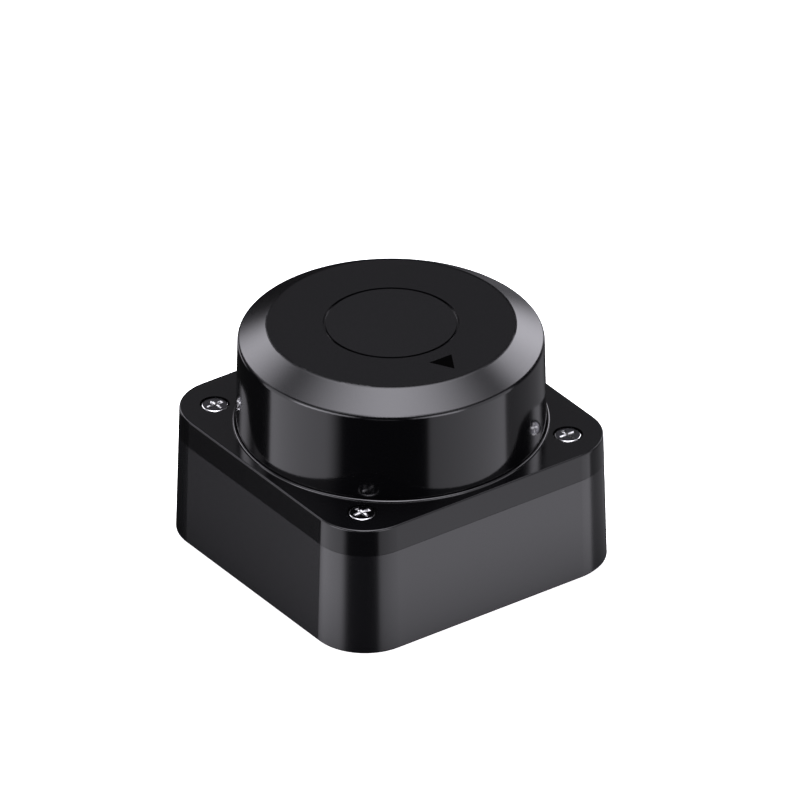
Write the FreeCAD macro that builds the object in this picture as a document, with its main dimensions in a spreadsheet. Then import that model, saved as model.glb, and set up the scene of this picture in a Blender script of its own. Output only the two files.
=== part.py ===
"""Compact scanning lidar sensor: a square base, a fixed round window, and a scanner that spins inside.

Millimetres. The origin is the middle of the underside, +Z is up, the front is -Y and the
connector is in the rear wall at +Y. The scanner turns about Z on a brushless motor.
"""
import FreeCAD, Part
import math
import os
import re

import Sketcher
from FreeCAD import Vector

# Driving dimensions, in millimetres (drafts and spans in degrees)
SIZES = {
    # Base and lid
    "base_side": 55.6,  # width of the square base at its foot
    "base_corner_r": 9.4,  # corner radius at the foot
    "side_draft": 1.67,  # lean of the base and lid walls
    "seam_z": 18.3,  # height of the seam between base and lid
    "lid_h": 4.75,  # height of the lid band
    "foot_bevel": 0.4,
    "seam_bevel": 0.05,
    "lid_edge_r": 0.3,
    "base_wall": 2.4,  # wall thickness at the rim
    "floor_t": 2.0,
    "ledge_w": 1.0,  # width of the gasket's ledge
    "gasket_t": 1.0,
    "gasket_gap": 0.15,  # play beside the gasket and the window's flange
    # Head
    "total_h": 41.3,  # height over the head
    "lid_margin": 1.68,  # lid left between the head's opening and its edge
    "lid_gap": 0.2,  # open ring between the lid and the head
    "lip_r": 0.25,  # raised bead round the opening
    "lip_inset": 0.08,
    "lip_sink": 0.1,  # depth of the bead's centre below the lid's top
    "window_draft": 1.3,
    "window_wall": 1.6,
    "roof_t": 1.6,
    "flange_t": 1.5,
    "brow_w": 4.82,  # width of the sloping band round the top
    "brow_h": 2.84,  # fall of the sloping band
    "brow_foot_r": 0.75,
    "brow_top_r": 1.3,
    "disc_r": 10.6,
    "disc_t": 0.6,
    "disc_gap": 0.45,
    "mark_w": 4.4,  # sunk triangle that shows the front
    "mark_l": 3.9,
    "mark_y": 13.6,
    "mark_depth": 0.35,
    # Lid screws, their bosses and the inserts under them
    "screw_inset": 7.3,  # from the foot's edge to the screw's axis
    "lid_screw_r": 1.0,
    "lid_screw_len": 11.8,
    "lid_head_r": 2.2,
    "lid_head_edge": 0.6,  # height of the head's straight side
    "lid_head_h": 1.0,
    "sink_depth": 1.05,  # seat of a head below the lid's top
    "sink_gap": 0.25,
    "cross_l": 2.5,
    "cross_w": 0.62,
    "cross_depth": 0.7,
    "boss_r": 3.6,
    "collar_r": 2.0,
    "thread_gap": 0.025,
    "screw_clear": 0.2,
    "tip_clear": 0.7,  # hole left below a screw's tip
    "insert_r": 2.0,
    "insert_bore_r": 1.5,
    "insert_len": 4.0,
    "insert_inset": 0.2,
    "insert_end_gap": 1.0,  # hole left above an insert for the tip of a screw
    "insert_flange_r": 2.5,
    "insert_flange_t": 0.6,
    # Main board
    "board_t": 1.2,
    "board_gap": 0.9,
    "post_h": 2.5,
    "post_r": 2.3,
    "post_x": 12.0,
    "post_inset": 5.9,
    "small_screw_r": 1.0,
    "small_head_r": 1.9,
    "small_head_h": 1.2,
    "board_screw_grip": 2.6,
    "processor_side": 6.0,
    "driver_side": 4.0,
    "driver_x": 5.0,
    "chip_t": 1.0,
    "chip_inset": 5.0,
    # Connector
    "pin_count": 5,
    "pin_pitch": 2.5,
    "pin_side": 0.64,
    "pin_reach": 3.2,  # bare pin inside the shroud
    "pin_setback": 0.5,
    "pin_tail": 1.0,
    "pin_gap": 0.03,
    "connector_cheek": 2.45,
    "connector_h": 6.1,
    "connector_len": 9.4,
    "connector_wall": 0.65,
    "connector_back_t": 1.8,
    "connector_inset": 0.9,
    "connector_gap": 0.25,
    "key_w": 1.2,
    # Motor
    "mount_flange_t": 1.5,
    "mount_lip": 1.5,  # flange that shows past the bell
    "mount_edge": 2.4,
    "mount_step_r": 4.8,
    "tube_r": 4.0,
    "tube_step_r": 2.5,
    "motor_screw_count": 3,
    "motor_screw_turn": 90.0,  # bearing of the first screw
    "core_lift": 3.5,
    "core_h": 4.0,
    "core_r": 9.0,
    "tooth_count": 9,
    "tooth_l": 2.88,  # length of a tooth's neck
    "tooth_w": 1.5,
    "tooth_tip_t": 0.7,
    "slot_mouth": 1.4,
    "coil_build": 0.7,  # winding thickness on each side of a tooth
    "coil_gap": 0.05,
    "coil_end_gap": 0.5,
    "bearing_r": 3.0,
    "bearing_w": 2.5,
    "bearing_lift": 2.3,
    "bearing_spacing": 2.0,
    "bearing_ring_t": 0.42,
    "shield_depth": 0.2,
    "fit_gap": 0.02,
    "axial_play": 0.3,
    "shaft_r": 1.5,
    "shaft_bore_r": 0.7,
    "shaft_tail": 1.0,
    "clip_groove": 0.3,
    "clip_t": 0.4,
    "clip_gap": 0.2,
    "clip_r": 2.4,
    "clip_mouth": 1.6,
    "air_gap": 0.4,
    "magnet_t": 1.48,
    "magnet_h": 6.0,
    "bell_wall": 1.0,
    "bell_top_t": 1.6,
    "bell_h": 8.7,
    "bell_bevel": 0.4,
    # Contactless supply, encoder and data link
    "coil_w": 2.0,
    "coil_t": 1.5,
    "pickup_t": 1.4,
    "coil_air": 0.6,
    "carrier_t": 1.2,
    "carrier_lip": 0.6,
    "carrier_leg_r": 0.9,
    "carrier_leg_count": 4,
    "carrier_leg_turn": 45.0,  # bearing of the first leg
    "encoder_h": 2.3,
    "encoder_wall": 0.8,
    "encoder_inset": 0.1,
    "encoder_slots": 24,
    "encoder_slot_w": 1.3,
    "encoder_slot_h": 1.4,
    "fork_gap": 0.4,
    "fork_arm": 0.8,
    "fork_w": 3.6,
    "link_side": 2.4,
    "link_t": 0.9,
    # Scanner
    "scan_gap": 1.35,  # between the deck and the window's wall at the lid
    "deck_t": 1.2,
    "deck_screw_ring": 7.5,
    "deck_screw_turn": 30.0,  # bearing of the first screw
    "deck_head_r": 1.6,
    "deck_head_h": 0.9,
    "rotor_board_t": 1.0,
    "rotor_board_inset": 0.7,
    "ranging_side": 5.0,
    "ranging_y": 9.6,
    "holder_front": 6.4,  # from the spin axis to the base's front edge
    "holder_edge": 1.0,  # left between the outer screws and the base's ends
    "holder_base_t": 3.0,
    "holder_corner_r": 2.0,
    "holder_screw_y": 2.2,
    "holder_head_r": 1.4,
    "holder_head_h": 1.0,
    "holder_head_gap": 0.2,  # between a screw's head and the bell or the coil
    "holder_grip": 2.3,
    "emitter_gap": 0.3,
    "barrel_gap": 2.0,  # above and below the receive barrel
    "barrel_wall": 0.8,
    "lens_shoulder": 0.6,
    "front_inset": 6.3,
    "receive_x": 6.5,
    "transmit_x": 9.0,
    "transmit_barrel_r": 5.2,
    "plate_y": 2.0,
    "plate_t": 2.0,
    "rib_t": 2.0,
    "rib_inset": 3.0,
    "seat_depth": 4.2,
    "lens_fit": 0.04,
    "lens_edge": 1.8,
    "lens_rim": 0.8,
    "lens_ring_t": 1.2,
    "receive_bulge": 1.3,
    "transmit_bulge": 0.8,
    "sensor_side": 3.4,
    "sensor_gap": 0.3,
    "laser_base_r": 1.7,
    "laser_base_t": 0.4,
    "laser_can_r": 1.3,
    "laser_can_l": 1.2,
    "laser_gap": 0.1,
    "sensor_board_t": 1.0,
    "receiver_board_w": 14.0,
    "receiver_board_h": 13.6,
    "laser_board_w": 10.8,
    "laser_board_h": 11.2,
    "sensor_board_corner": 1.0,
    "tiny_screw_r": 0.8,
    "tiny_head_r": 1.3,
    "tiny_head_h": 0.8,
    "tiny_inset": 1.6,
    "tiny_grip": 1.4,
    "weight_in_r": 14.0,
    "weight_inset": 1.8,
    "weight_h": 3.0,
    "weight_cut_y": 10.0,
}

# Outside of the base, from the foot up
RIM_SIDE = "(base_side - 2*seam_z*tan(side_draft))"
RIM_CORNER = "(base_corner_r - seam_z*tan(side_draft))"
LID_TOP = "(seam_z + lid_h)"
LID_TOP_SIDE = f"(base_side - 2*{LID_TOP}*tan(side_draft))"
CAVITY_SIDE = f"({RIM_SIDE} - 2*base_wall)"
CAVITY_CORNER = f"({RIM_CORNER} - base_wall)"
LEDGE_SIDE = f"({CAVITY_SIDE} + 2*ledge_w)"
LEDGE_CORNER = f"({CAVITY_CORNER} + ledge_w)"
LEDGE_Z = "(seam_z - gasket_t)"
SEATED_SIDE = f"({LEDGE_SIDE} - 2*gasket_gap)"
SEATED_CORNER = f"({LEDGE_CORNER} - gasket_gap)"
GASKET_W = "(ledge_w - 2*gasket_gap)"
CORNER_COUNT = "4"  # of the square
SCREW_XY = "(base_side/2 - screw_inset)"
HEAD_SEAT = f"({LID_TOP} - sink_depth)"
LID_PILOT = "(lid_screw_len + sink_depth - lid_h + tip_clear)"
SCREW_HOLE_R = "(lid_screw_r + screw_clear)"

# Head
OPENING_R = f"({LID_TOP_SIDE}/2 - lid_margin)"
WINDOW_R = f"({OPENING_R} - lid_gap)"
WINDOW_FOOT_R = f"({WINDOW_R} + lid_h*tan(window_draft))"
BROW_Z = "(total_h - brow_h)"
BROW_R = f"({WINDOW_R} - ({BROW_Z} - {LID_TOP})*tan(window_draft))"
CROWN_R = f"({BROW_R} - brow_w)"
BROW_SLOPE = "atan(brow_h/brow_w)"
ROOF_Z = "(total_h - roof_t)"

# Board and connector
BOARD_Z = "(floor_t + post_h)"
BOARD_TOP = f"({BOARD_Z} + board_t)"
POST_Y = f"({CAVITY_SIDE}/2 - post_inset)"
CONNECTOR_W = "((pin_count - 1)*pin_pitch + 2*connector_cheek)"
CONNECTOR_FACE = "(base_side/2 - connector_inset)"
CONNECTOR_BACK = f"({CONNECTOR_FACE} - connector_len)"
PIN_Y = f"({CONNECTOR_BACK} - pin_setback)"
PIN_Z = f"({BOARD_TOP} + connector_h/2)"
FIRST_PIN_X = "(-(pin_count - 1)*pin_pitch/2)"

# Motor, from the board up
CORE_Z = f"({BOARD_TOP} + core_lift)"
CORE_HUB_R = "(core_r - tooth_tip_t - tooth_l)"
TOOTH_END = "(core_r - tooth_tip_t)"
LOW_BEARING_Z = f"({BOARD_TOP} + bearing_lift)"
LOW_BEARING_TOP = f"({LOW_BEARING_Z} + bearing_w)"
UP_BEARING_Z = f"({LOW_BEARING_TOP} + bearing_spacing)"
TUBE_TOP = f"({UP_BEARING_Z} + bearing_w)"
SEAT_R = "(bearing_r + fit_gap)"
HUB_Z = f"({TUBE_TOP} + axial_play)"
DECK_Z = f"({HUB_Z} + bell_top_t)"
DECK_TOP = f"({DECK_Z} + deck_t)"
CLIP_Z = f"({LOW_BEARING_Z} - clip_gap - clip_t)"
GROOVE_R = "(shaft_r - clip_groove)"
SHAFT_FIT_R = "(shaft_r + fit_gap)"
MAGNET_IN_R = "(core_r + air_gap)"
BELL_IN_R = f"({MAGNET_IN_R} + magnet_t + fit_gap)"
BELL_R = f"({BELL_IN_R} + bell_wall)"
MAGNET_Z = f"({CORE_Z} + core_h/2 - magnet_h/2)"
MOUNT_R = f"({BELL_R} + mount_lip)"
MOTOR_SCREW_RING = f"({MOUNT_R} - mount_edge)"

# Scanner
DECK_R = f"({WINDOW_R} - window_wall - scan_gap)"
ROTOR_BOARD_TOP = f"({DECK_TOP} + rotor_board_t)"
HOLDER_TOP = f"({ROTOR_BOARD_TOP} + holder_base_t)"
HOLDER_SCREW_RING = f"({BELL_R} + holder_head_gap + holder_head_r)"
HOLDER_SCREW_X = f"sqrt({HOLDER_SCREW_RING}*{HOLDER_SCREW_RING} - holder_screw_y*holder_screw_y)"
HOLDER_HALF_X = f"({HOLDER_SCREW_X} + small_screw_r + holder_edge)"
LENS_Z = f"(({ROTOR_BOARD_TOP} + {ROOF_Z})/2)"
RECEIVE_BARREL_R = f"(({ROOF_Z} - {ROTOR_BOARD_TOP})/2 - barrel_gap)"
FRONT = f"({DECK_R} - front_inset)"
PLATE_BACK = "(plate_y + plate_t)"
BOARD_BACK = f"({PLATE_BACK} + sensor_board_t)"

# Encoder at the deck's edge, and coils just outside the holder's screws
ENCODER_OUT = f"({DECK_R} - encoder_inset)"
ENCODER_IN = f"({ENCODER_OUT} - encoder_wall)"
ENCODER_Z = f"({DECK_Z} - encoder_h)"
FORK_IN = f"({ENCODER_IN} - fork_gap - fork_arm)"
FORK_OUT = f"({ENCODER_OUT} + fork_gap + fork_arm)"
COIL_IN = f"({HOLDER_SCREW_RING} + holder_head_r + holder_head_gap)"
COIL_OUT = f"({COIL_IN} + coil_w)"
PICKUP_Z = f"({DECK_Z} - pickup_t)"
COIL_Z = f"({PICKUP_Z} - coil_air - coil_t)"
CARRIER_Z = f"({COIL_Z} - carrier_t)"

doc = FreeCAD.newDocument("lidar_sensor")
dims = doc.addObject("Spreadsheet::Sheet", "dims")
for row, (size_name, size) in enumerate(SIZES.items(), start=1):
    dims.set(f"A{row}", str(size))
    dims.setAlias(f"A{row}", size_name)
doc.recompute()

nodes = []


def bound(text):
    """Point every size name of an expression at its cell in the sheet."""
    return re.sub(r"[a-z]\w*", lambda word: f"dims.{word[0]}" if word[0] in SIZES else word[0], text)


def measure(text):
    """Work out the present value of an expression."""
    return float(dims.evalExpression(text))


def new_node(kind, name):
    """Add a document object that becomes one piece of the sensor."""
    item = doc.addObject(kind, name)
    item.Label = name
    nodes.append(item)
    return item


def new_body(name):
    """Add a piece that is modelled by features; a group of like solids may share it."""
    body = new_node("PartDesign::Body", name)
    body.AllowCompound = True
    return body


def origin_part(body, role):
    """Find one of a body's own origin planes or axes."""
    return next(item for item in body.Origin.OriginFeatures if item.Role == role)


class Outline:
    """A sketch on one of its body's origin planes, with every point tied to the sheet."""

    def __init__(self, body, name, plane="XY_Plane", height="0", across="0"):
        self.sketch = body.newObject("Sketcher::SketchObject", f"{body.Name}_{name}")
        self.sketch.AttachmentSupport = (origin_part(body, plane), [""])
        self.sketch.MapMode = "FlatFace"
        self.sketch.setExpression("AttachmentOffset.Base.z", bound(height))
        self.sketch.setExpression("AttachmentOffset.Base.x", bound(across))

    def hold(self, *constraint):
        """Add a constraint that has no size."""
        self.sketch.addConstraint(Sketcher.Constraint(*constraint))

    def tie(self, kind, *place, size):
        """Add a constraint whose size follows the sheet."""
        index = self.sketch.addConstraint(Sketcher.Constraint(kind, *place, measure(size)))
        self.sketch.setExpression(f"Constraints[{index}]", bound(size))

    def fix(self, element, point, x, y):
        """Tie one point of an element to its place in the sketch."""
        for kind, axis, size in (("DistanceX", -2, x), ("DistanceY", -1, y)):
            if size == "0":
                self.hold("PointOnObject", element, point, axis)
            else:
                self.tie(kind, -1, 1, element, point, size=size)

    def circle(self, radius, x="0", y="0"):
        """Draw a circle."""
        centre = Vector(measure(x), measure(y), 0)
        element = self.sketch.addGeometry(Part.Circle(centre, Vector(0, 0, 1), measure(radius)))
        self.tie("Radius", element, size=radius)
        self.fix(element, 3, x, y)
        return self

    def circles(self, radius, places):
        """Draw like circles at several places."""
        for x, y in places:
            self.circle(radius, x, y)
        return self

    def profile(self, points, domes=()):
        """Draw a closed outline; the runs listed in domes are arcs centred on the upright axis."""
        spots = [Vector(measure(x), measure(y), 0) for x, y in points]
        ends = []
        for run, start in enumerate(spots):
            end = spots[(run + 1) % len(spots)]
            if run in domes:
                ends.append(self.dome(start, end))
            else:
                ends.append((self.sketch.addGeometry(Part.LineSegment(start, end)), 1, 2))
        for run, (x, y) in enumerate(points):
            element, first, _ = ends[run]
            before, _, last = ends[run - 1]
            self.hold("Coincident", before, last, element, first)
            self.fix(element, first, x, y)
        return self

    def dome(self, start, end):
        """Draw an arc centred on the upright axis; returns it with its first and last point."""
        rise = (start.x ** 2 + start.y ** 2 - end.x ** 2 - end.y ** 2) / (2 * (start.y - end.y))
        centre = Vector(0, rise, 0)
        angles = [math.atan2(spot.y - rise, spot.x) for spot in (start, end)]
        forward = (angles[1] - angles[0]) % (2 * math.pi) < math.pi
        circle = Part.Circle(centre, Vector(0, 0, 1), start.distanceToPoint(centre))
        element = self.sketch.addGeometry(Part.ArcOfCircle(circle, *(angles if forward else angles[::-1])))
        self.hold("PointOnObject", element, 3, -2)
        return (element, 1, 2) if forward else (element, 2, 1)

    def box(self, left, right, low, high):
        """Draw a rectangle between four edges."""
        return self.profile([(left, low), (right, low), (right, high), (left, high)])

    def rounded(self, width, depth, corner, x="0", y="0"):
        """Draw a rectangle with round corners about a centre."""
        half_w = f"(({width})/2 - ({corner}))"
        half_d = f"(({depth})/2 - ({corner}))"
        reach_w = measure(half_w)
        reach_d = measure(half_d)
        radius = measure(corner)
        centre = Vector(measure(x), measure(y), 0)
        lines = []
        arcs = []
        for turn, (sx, sy) in enumerate(((1, -1), (1, 1), (-1, 1), (-1, -1))):
            spot = centre + Vector(sx * reach_w, sy * reach_d, 0)
            start = math.radians(90 * turn - 90)
            curve = Part.Circle(spot, Vector(0, 0, 1), radius)
            arcs.append(self.sketch.addGeometry(Part.ArcOfCircle(curve, start, start + math.pi / 2)))
        for turn, arc in enumerate(arcs):
            begin = self.sketch.getPoint(arcs[turn - 1], 2)
            end = self.sketch.getPoint(arc, 1)
            lines.append(self.sketch.addGeometry(Part.LineSegment(begin, end)))
        for turn, arc in enumerate(arcs):
            self.hold("Tangent", lines[turn], 2, arc, 1)
            self.hold("Tangent", arc, 2, lines[(turn + 1) % 4], 1)
            self.hold("Horizontal" if turn % 2 == 0 else "Vertical", lines[turn])
        for arc in arcs[1:]:
            self.hold("Equal", arcs[0], arc)
        self.tie("Radius", arcs[0], size=corner)
        self.fix(arcs[0], 3, f"{x} + {half_w}", f"{y} - {half_d}")
        self.fix(arcs[2], 3, f"{x} - {half_w}", f"{y} + {half_d}")
        return self


def pad(body, outline, length, reverse=False, middle=False, lean=None):
    """Raise an outline into a solid along its plane's normal."""
    feature = body.newObject("PartDesign::Pad", f"{outline.sketch.Name}_pad")
    feature.Profile = outline.sketch
    feature.setExpression("Length", bound(length))
    feature.Reversed = reverse
    feature.Midplane = middle
    if lean:
        feature.setExpression("TaperAngle", bound(f"-{lean}"))
    return feature


def pocket(body, outline, depth, reverse=False):
    """Cut an outline into the solid, against its plane's normal unless reversed."""
    doc.recompute()
    before = body.Shape.Volume
    feature = body.newObject("PartDesign::Pocket", f"{outline.sketch.Name}_cut")
    feature.Profile = outline.sketch
    feature.setExpression("Length", bound(depth))
    feature.Reversed = reverse
    doc.recompute()
    if feature.Shape.Volume >= before:
        raise RuntimeError(f"{feature.Name} cuts nothing")
    return feature


def turn(body, outline):
    """Revolve an outline about its own upright axis."""
    feature = body.newObject("PartDesign::Revolution", f"{outline.sketch.Name}_turn")
    feature.Profile = outline.sketch
    feature.ReferenceAxis = (outline.sketch, ["V_Axis"])
    feature.Angle = 360
    return feature


def repeat(body, features, count):
    """Repeat features evenly round the upright axis."""
    doc.recompute()
    pattern = body.newObject("PartDesign::PolarPattern", f"{body.Name}_pattern")
    pattern.Originals = features
    pattern.Axis = (origin_part(body, "Z_Axis"), [""])
    pattern.Angle = 360
    pattern.setExpression("Occurrences", bound(count))
    body.Tip = pattern
    return pattern


def level_edges(shape, height, radius=None):
    """Name the edges that lie at one height, only circles of one radius where that is given."""
    level = measure(height)
    names = []
    for number, edge in enumerate(shape.Edges, start=1):
        flat = abs(edge.BoundBox.ZMin - level) < 0.01 and abs(edge.BoundBox.ZMax - level) < 0.01
        if flat and radius is None:
            names.append(f"Edge{number}")
        elif flat and abs(getattr(edge.Curve, "Radius", 0) - measure(radius)) < 0.01:
            names.append(f"Edge{number}")
    return names


def soften(body, kind, size, height, radius=None):
    """Put a Fillet or Chamfer on the edges at one height."""
    doc.recompute()
    last = body.Tip
    feature = body.newObject(f"PartDesign::{kind}", f"{body.Name}_{kind.lower()}")
    feature.Base = (last, level_edges(last.Shape, height, radius))
    feature.setExpression("Radius" if kind == "Fillet" else "Size", bound(size))
    return feature


def corners(x, y):
    """The four places mirrored in both middle planes."""
    return [(f"{sx}*{x}", f"{sy}*{y}") for sx, sy in ((1, 1), (-1, 1), (-1, -1), (1, -1))]


def ring_places(radius, count, first):
    """Places spread evenly on a circle about the spin axis, from the bearing of the first."""
    bearings = [f"({first} + 360*{step}/{count})" for step in range(int(measure(count)))]
    return [(f"{radius}*cos({bearing})", f"{radius}*sin({bearing})") for bearing in bearings]


def block(name, wide, deep, tall, x="0", y="0", z="0", piece=True):
    """Add a plain block, centred on x and y and standing on z."""
    item = new_node("Part::Box", name) if piece else doc.addObject("Part::Box", name)
    for side, size in (("Length", wide), ("Width", deep), ("Height", tall)):
        item.setExpression(side, bound(size))
    item.setExpression("Placement.Base.x", bound(f"{x} - {wide}/2"))
    item.setExpression("Placement.Base.y", bound(f"{y} - {deep}/2"))
    item.setExpression("Placement.Base.z", bound(z))
    return item


def washer(name, inner, outer, low, high):
    """Add a plain ring about the spin axis."""
    body = new_body(name)
    turn(body, Outline(body, "section", "XZ_Plane").box(inner, outer, low, high))
    return body


def plain_screws(name, places, head, shank, plane="XY_Plane", seat="0", heads_up=True):
    """Add like screws: head is (radius, height), shank is (radius, length), seat is under the head."""
    body = new_body(name)
    pad(body, Outline(body, "heads", plane, seat).circles(head[0], places), head[1], reverse=not heads_up)
    pad(body, Outline(body, "shanks", plane, seat).circles(shank[0], places), shank[1], reverse=heads_up)
    return body


# Places that two or more pieces share
MOTOR_SCREW_PLACES = ring_places(MOTOR_SCREW_RING, "motor_screw_count", "motor_screw_turn")
DECK_SCREW_PLACES = ring_places("deck_screw_ring", "motor_screw_count", "deck_screw_turn")
HOLDER_SCREW_PLACES = corners(HOLDER_SCREW_X, "holder_screw_y")


# Base and lid


def build_base_housing():
    """Moulded base: drafted walls, corner bosses, board posts, gasket ledge, connector opening."""
    body = new_body("base_housing")
    pad(body, Outline(body, "outside").rounded("base_side", "base_side", "base_corner_r"),
        "seam_z", lean="side_draft")
    soften(body, "Chamfer", "foot_bevel", "0")
    cavity = Outline(body, "cavity", height="seam_z").rounded(CAVITY_SIDE, CAVITY_SIDE, CAVITY_CORNER)
    pocket(body, cavity, "seam_z - floor_t")
    screw_places = corners(SCREW_XY, SCREW_XY)
    post_places = corners("post_x", POST_Y)
    bosses = Outline(body, "bosses", height="floor_t").circles("boss_r", screw_places)
    pad(body, bosses, f"{LEDGE_Z} - floor_t")
    ledge = Outline(body, "ledge", height="seam_z").rounded(LEDGE_SIDE, LEDGE_SIDE, LEDGE_CORNER)
    pocket(body, ledge, "gasket_t")
    pad(body, Outline(body, "collars", height=LEDGE_Z).circles("collar_r", screw_places), "gasket_t")
    pad(body, Outline(body, "posts", height="floor_t").circles("post_r", post_places), "post_h")
    pilots = Outline(body, "lid_pilots", height="seam_z").circles("lid_screw_r + thread_gap", screw_places)
    pocket(body, pilots, LID_PILOT)
    pilots = Outline(body, "post_pilots", height=BOARD_Z).circles("small_screw_r + thread_gap", post_places)
    pocket(body, pilots, "board_screw_grip + tip_clear")
    seats = Outline(body, "insert_holes").circles("insert_r + fit_gap", screw_places)
    pocket(body, seats, "insert_inset + insert_len + insert_end_gap", reverse=True)
    seats = Outline(body, "insert_rims").circles("insert_flange_r + fit_gap", screw_places)
    pocket(body, seats, "insert_inset + insert_flange_t", reverse=True)
    half_w = f"({CONNECTOR_W}/2 + connector_gap)"
    mouth = Outline(body, "mouth", "XZ_Plane", f"-{CONNECTOR_BACK}").box(
        f"-{half_w}", half_w, f"{BOARD_TOP} - connector_gap", f"{BOARD_TOP} + connector_h + connector_gap")
    pocket(body, mouth, f"base_side/2 - {CONNECTOR_BACK}")


def build_lid_gasket():
    """Square rubber ring on the base's ledge."""
    body = new_body("lid_gasket")
    inside = f"({SEATED_SIDE} - 2*{GASKET_W})"
    outline = Outline(body, "section", height=LEDGE_Z)
    outline.rounded(SEATED_SIDE, SEATED_SIDE, SEATED_CORNER)
    outline.rounded(inside, inside, f"({SEATED_CORNER} - {GASKET_W})")
    pad(body, outline, "gasket_t")


def build_top_cover():
    """Lid band that clamps the window's flange, with a beaded opening and sunk screw seats."""
    body = new_body("top_cover")
    pad(body, Outline(body, "outside", height="seam_z").rounded(RIM_SIDE, RIM_SIDE, RIM_CORNER),
        "lid_h", lean="side_draft")
    soften(body, "Chamfer", "seam_bevel", "seam_z")
    soften(body, "Fillet", "lid_edge_r", LID_TOP)
    lip = Outline(body, "lip", "XZ_Plane")
    turn(body, lip.circle("lip_r", f"{OPENING_R} + lip_inset", f"{LID_TOP} - lip_sink"))
    opening = Outline(body, "opening", height=f"{LID_TOP} + lip_r").circle(OPENING_R)
    pocket(body, opening, "lid_h + lip_r")
    flange = Outline(body, "flange_seat", height="seam_z").rounded(LEDGE_SIDE, LEDGE_SIDE, LEDGE_CORNER)
    pocket(body, flange, "flange_t", reverse=True)
    screw_places = corners(SCREW_XY, SCREW_XY)
    pocket(body, Outline(body, "screw_holes", height=LID_TOP).circles(SCREW_HOLE_R, screw_places), "lid_h")
    sinks = Outline(body, "screw_sinks", height=LID_TOP).circles("lid_head_r + sink_gap", screw_places)
    pocket(body, sinks, "sink_depth")


def build_window_dome():
    """Fixed infrared window: drafted wall, sloping brow, flat roof and a square clamped flange."""
    body = new_body("window_dome")
    wall = [
        (WINDOW_FOOT_R, "seam_z"),
        (BROW_R, BROW_Z),
        (CROWN_R, "total_h"),
        ("0", "total_h"),
        ("0", ROOF_Z),
        (f"{CROWN_R} - roof_t*tan({BROW_SLOPE}/2)", ROOF_Z),
        (f"{BROW_R} - window_wall", f"{BROW_Z} - window_wall*tan((90 deg - {BROW_SLOPE})/2)"),
        (f"{WINDOW_FOOT_R} - window_wall", "seam_z"),
    ]
    turn(body, Outline(body, "wall", "XZ_Plane").profile(wall))
    soften(body, "Fillet", "brow_foot_r", BROW_Z)
    soften(body, "Fillet", "brow_top_r", "total_h")
    flange = Outline(body, "flange", height="seam_z").rounded(SEATED_SIDE, SEATED_SIDE, SEATED_CORNER)
    flange.circle(f"{WINDOW_FOOT_R} - window_wall/2")
    pad(body, flange, "flange_t")
    holes = Outline(body, "screw_holes", height="seam_z").circles(SCREW_HOLE_R, corners(SCREW_XY, SCREW_XY))
    pocket(body, holes, "flange_t", reverse=True)
    pocket(body, Outline(body, "disc_seat", height="total_h").circle("disc_r + disc_gap"), "disc_t")
    triangle = [("-mark_w/2", "-mark_y"), ("0", "-(mark_y + mark_l)"), ("mark_w/2", "-mark_y")]
    pocket(body, Outline(body, "mark", height="total_h").profile(triangle), "mark_depth")


def build_top_disc():
    """Flush disc in the head's top."""
    body = new_body("top_disc")
    pad(body, Outline(body, "outline", height="total_h").circle("disc_r"), "disc_t", reverse=True)


def build_lid_screws():
    """Four pan-head screws with cross recesses."""
    body = new_body("lid_screws")
    section = [
        ("0", f"{HEAD_SEAT} - lid_screw_len"),
        ("lid_screw_r", f"{HEAD_SEAT} - lid_screw_len"),
        ("lid_screw_r", HEAD_SEAT),
        ("lid_head_r", HEAD_SEAT),
        ("lid_head_r", f"{HEAD_SEAT} + lid_head_edge"),
        ("0", f"{HEAD_SEAT} + lid_head_h"),
    ]
    half = Outline(body, "section", "XZ_Plane", f"-{SCREW_XY}", SCREW_XY)
    screw = turn(body, half.profile(section, domes=(4,)))
    arm = "cross_l/2"
    web = "cross_w/2"
    cross = [(arm, f"-{web}"), (arm, web), (web, web), (web, arm), (f"-{web}", arm), (f"-{web}", web),
             (f"-{arm}", web), (f"-{arm}", f"-{web}"), (f"-{web}", f"-{web}"), (f"-{web}", f"-{arm}"),
             (web, f"-{arm}"), (web, f"-{web}")]
    places = [(f"{SCREW_XY} + {x}", f"{SCREW_XY} + {y}") for x, y in cross]
    top = Outline(body, "cross", height=f"{HEAD_SEAT} + lid_head_h")
    recess = pocket(body, top.profile(places), "cross_depth")
    repeat(body, [screw, recess], CORNER_COUNT)


def build_mounting_inserts():
    """Four flanged threaded inserts in the underside."""
    body = new_body("mounting_inserts")
    section = [
        ("insert_bore_r", "insert_inset"),
        ("insert_flange_r", "insert_inset"),
        ("insert_flange_r", "insert_inset + insert_flange_t"),
        ("insert_r", "insert_inset + insert_flange_t"),
        ("insert_r", "insert_inset + insert_len"),
        ("insert_bore_r", "insert_inset + insert_len"),
    ]
    insert = turn(body, Outline(body, "section", "XZ_Plane", f"-{SCREW_XY}", SCREW_XY).profile(section))
    repeat(body, [insert], CORNER_COUNT)


# Electronics in the base


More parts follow.
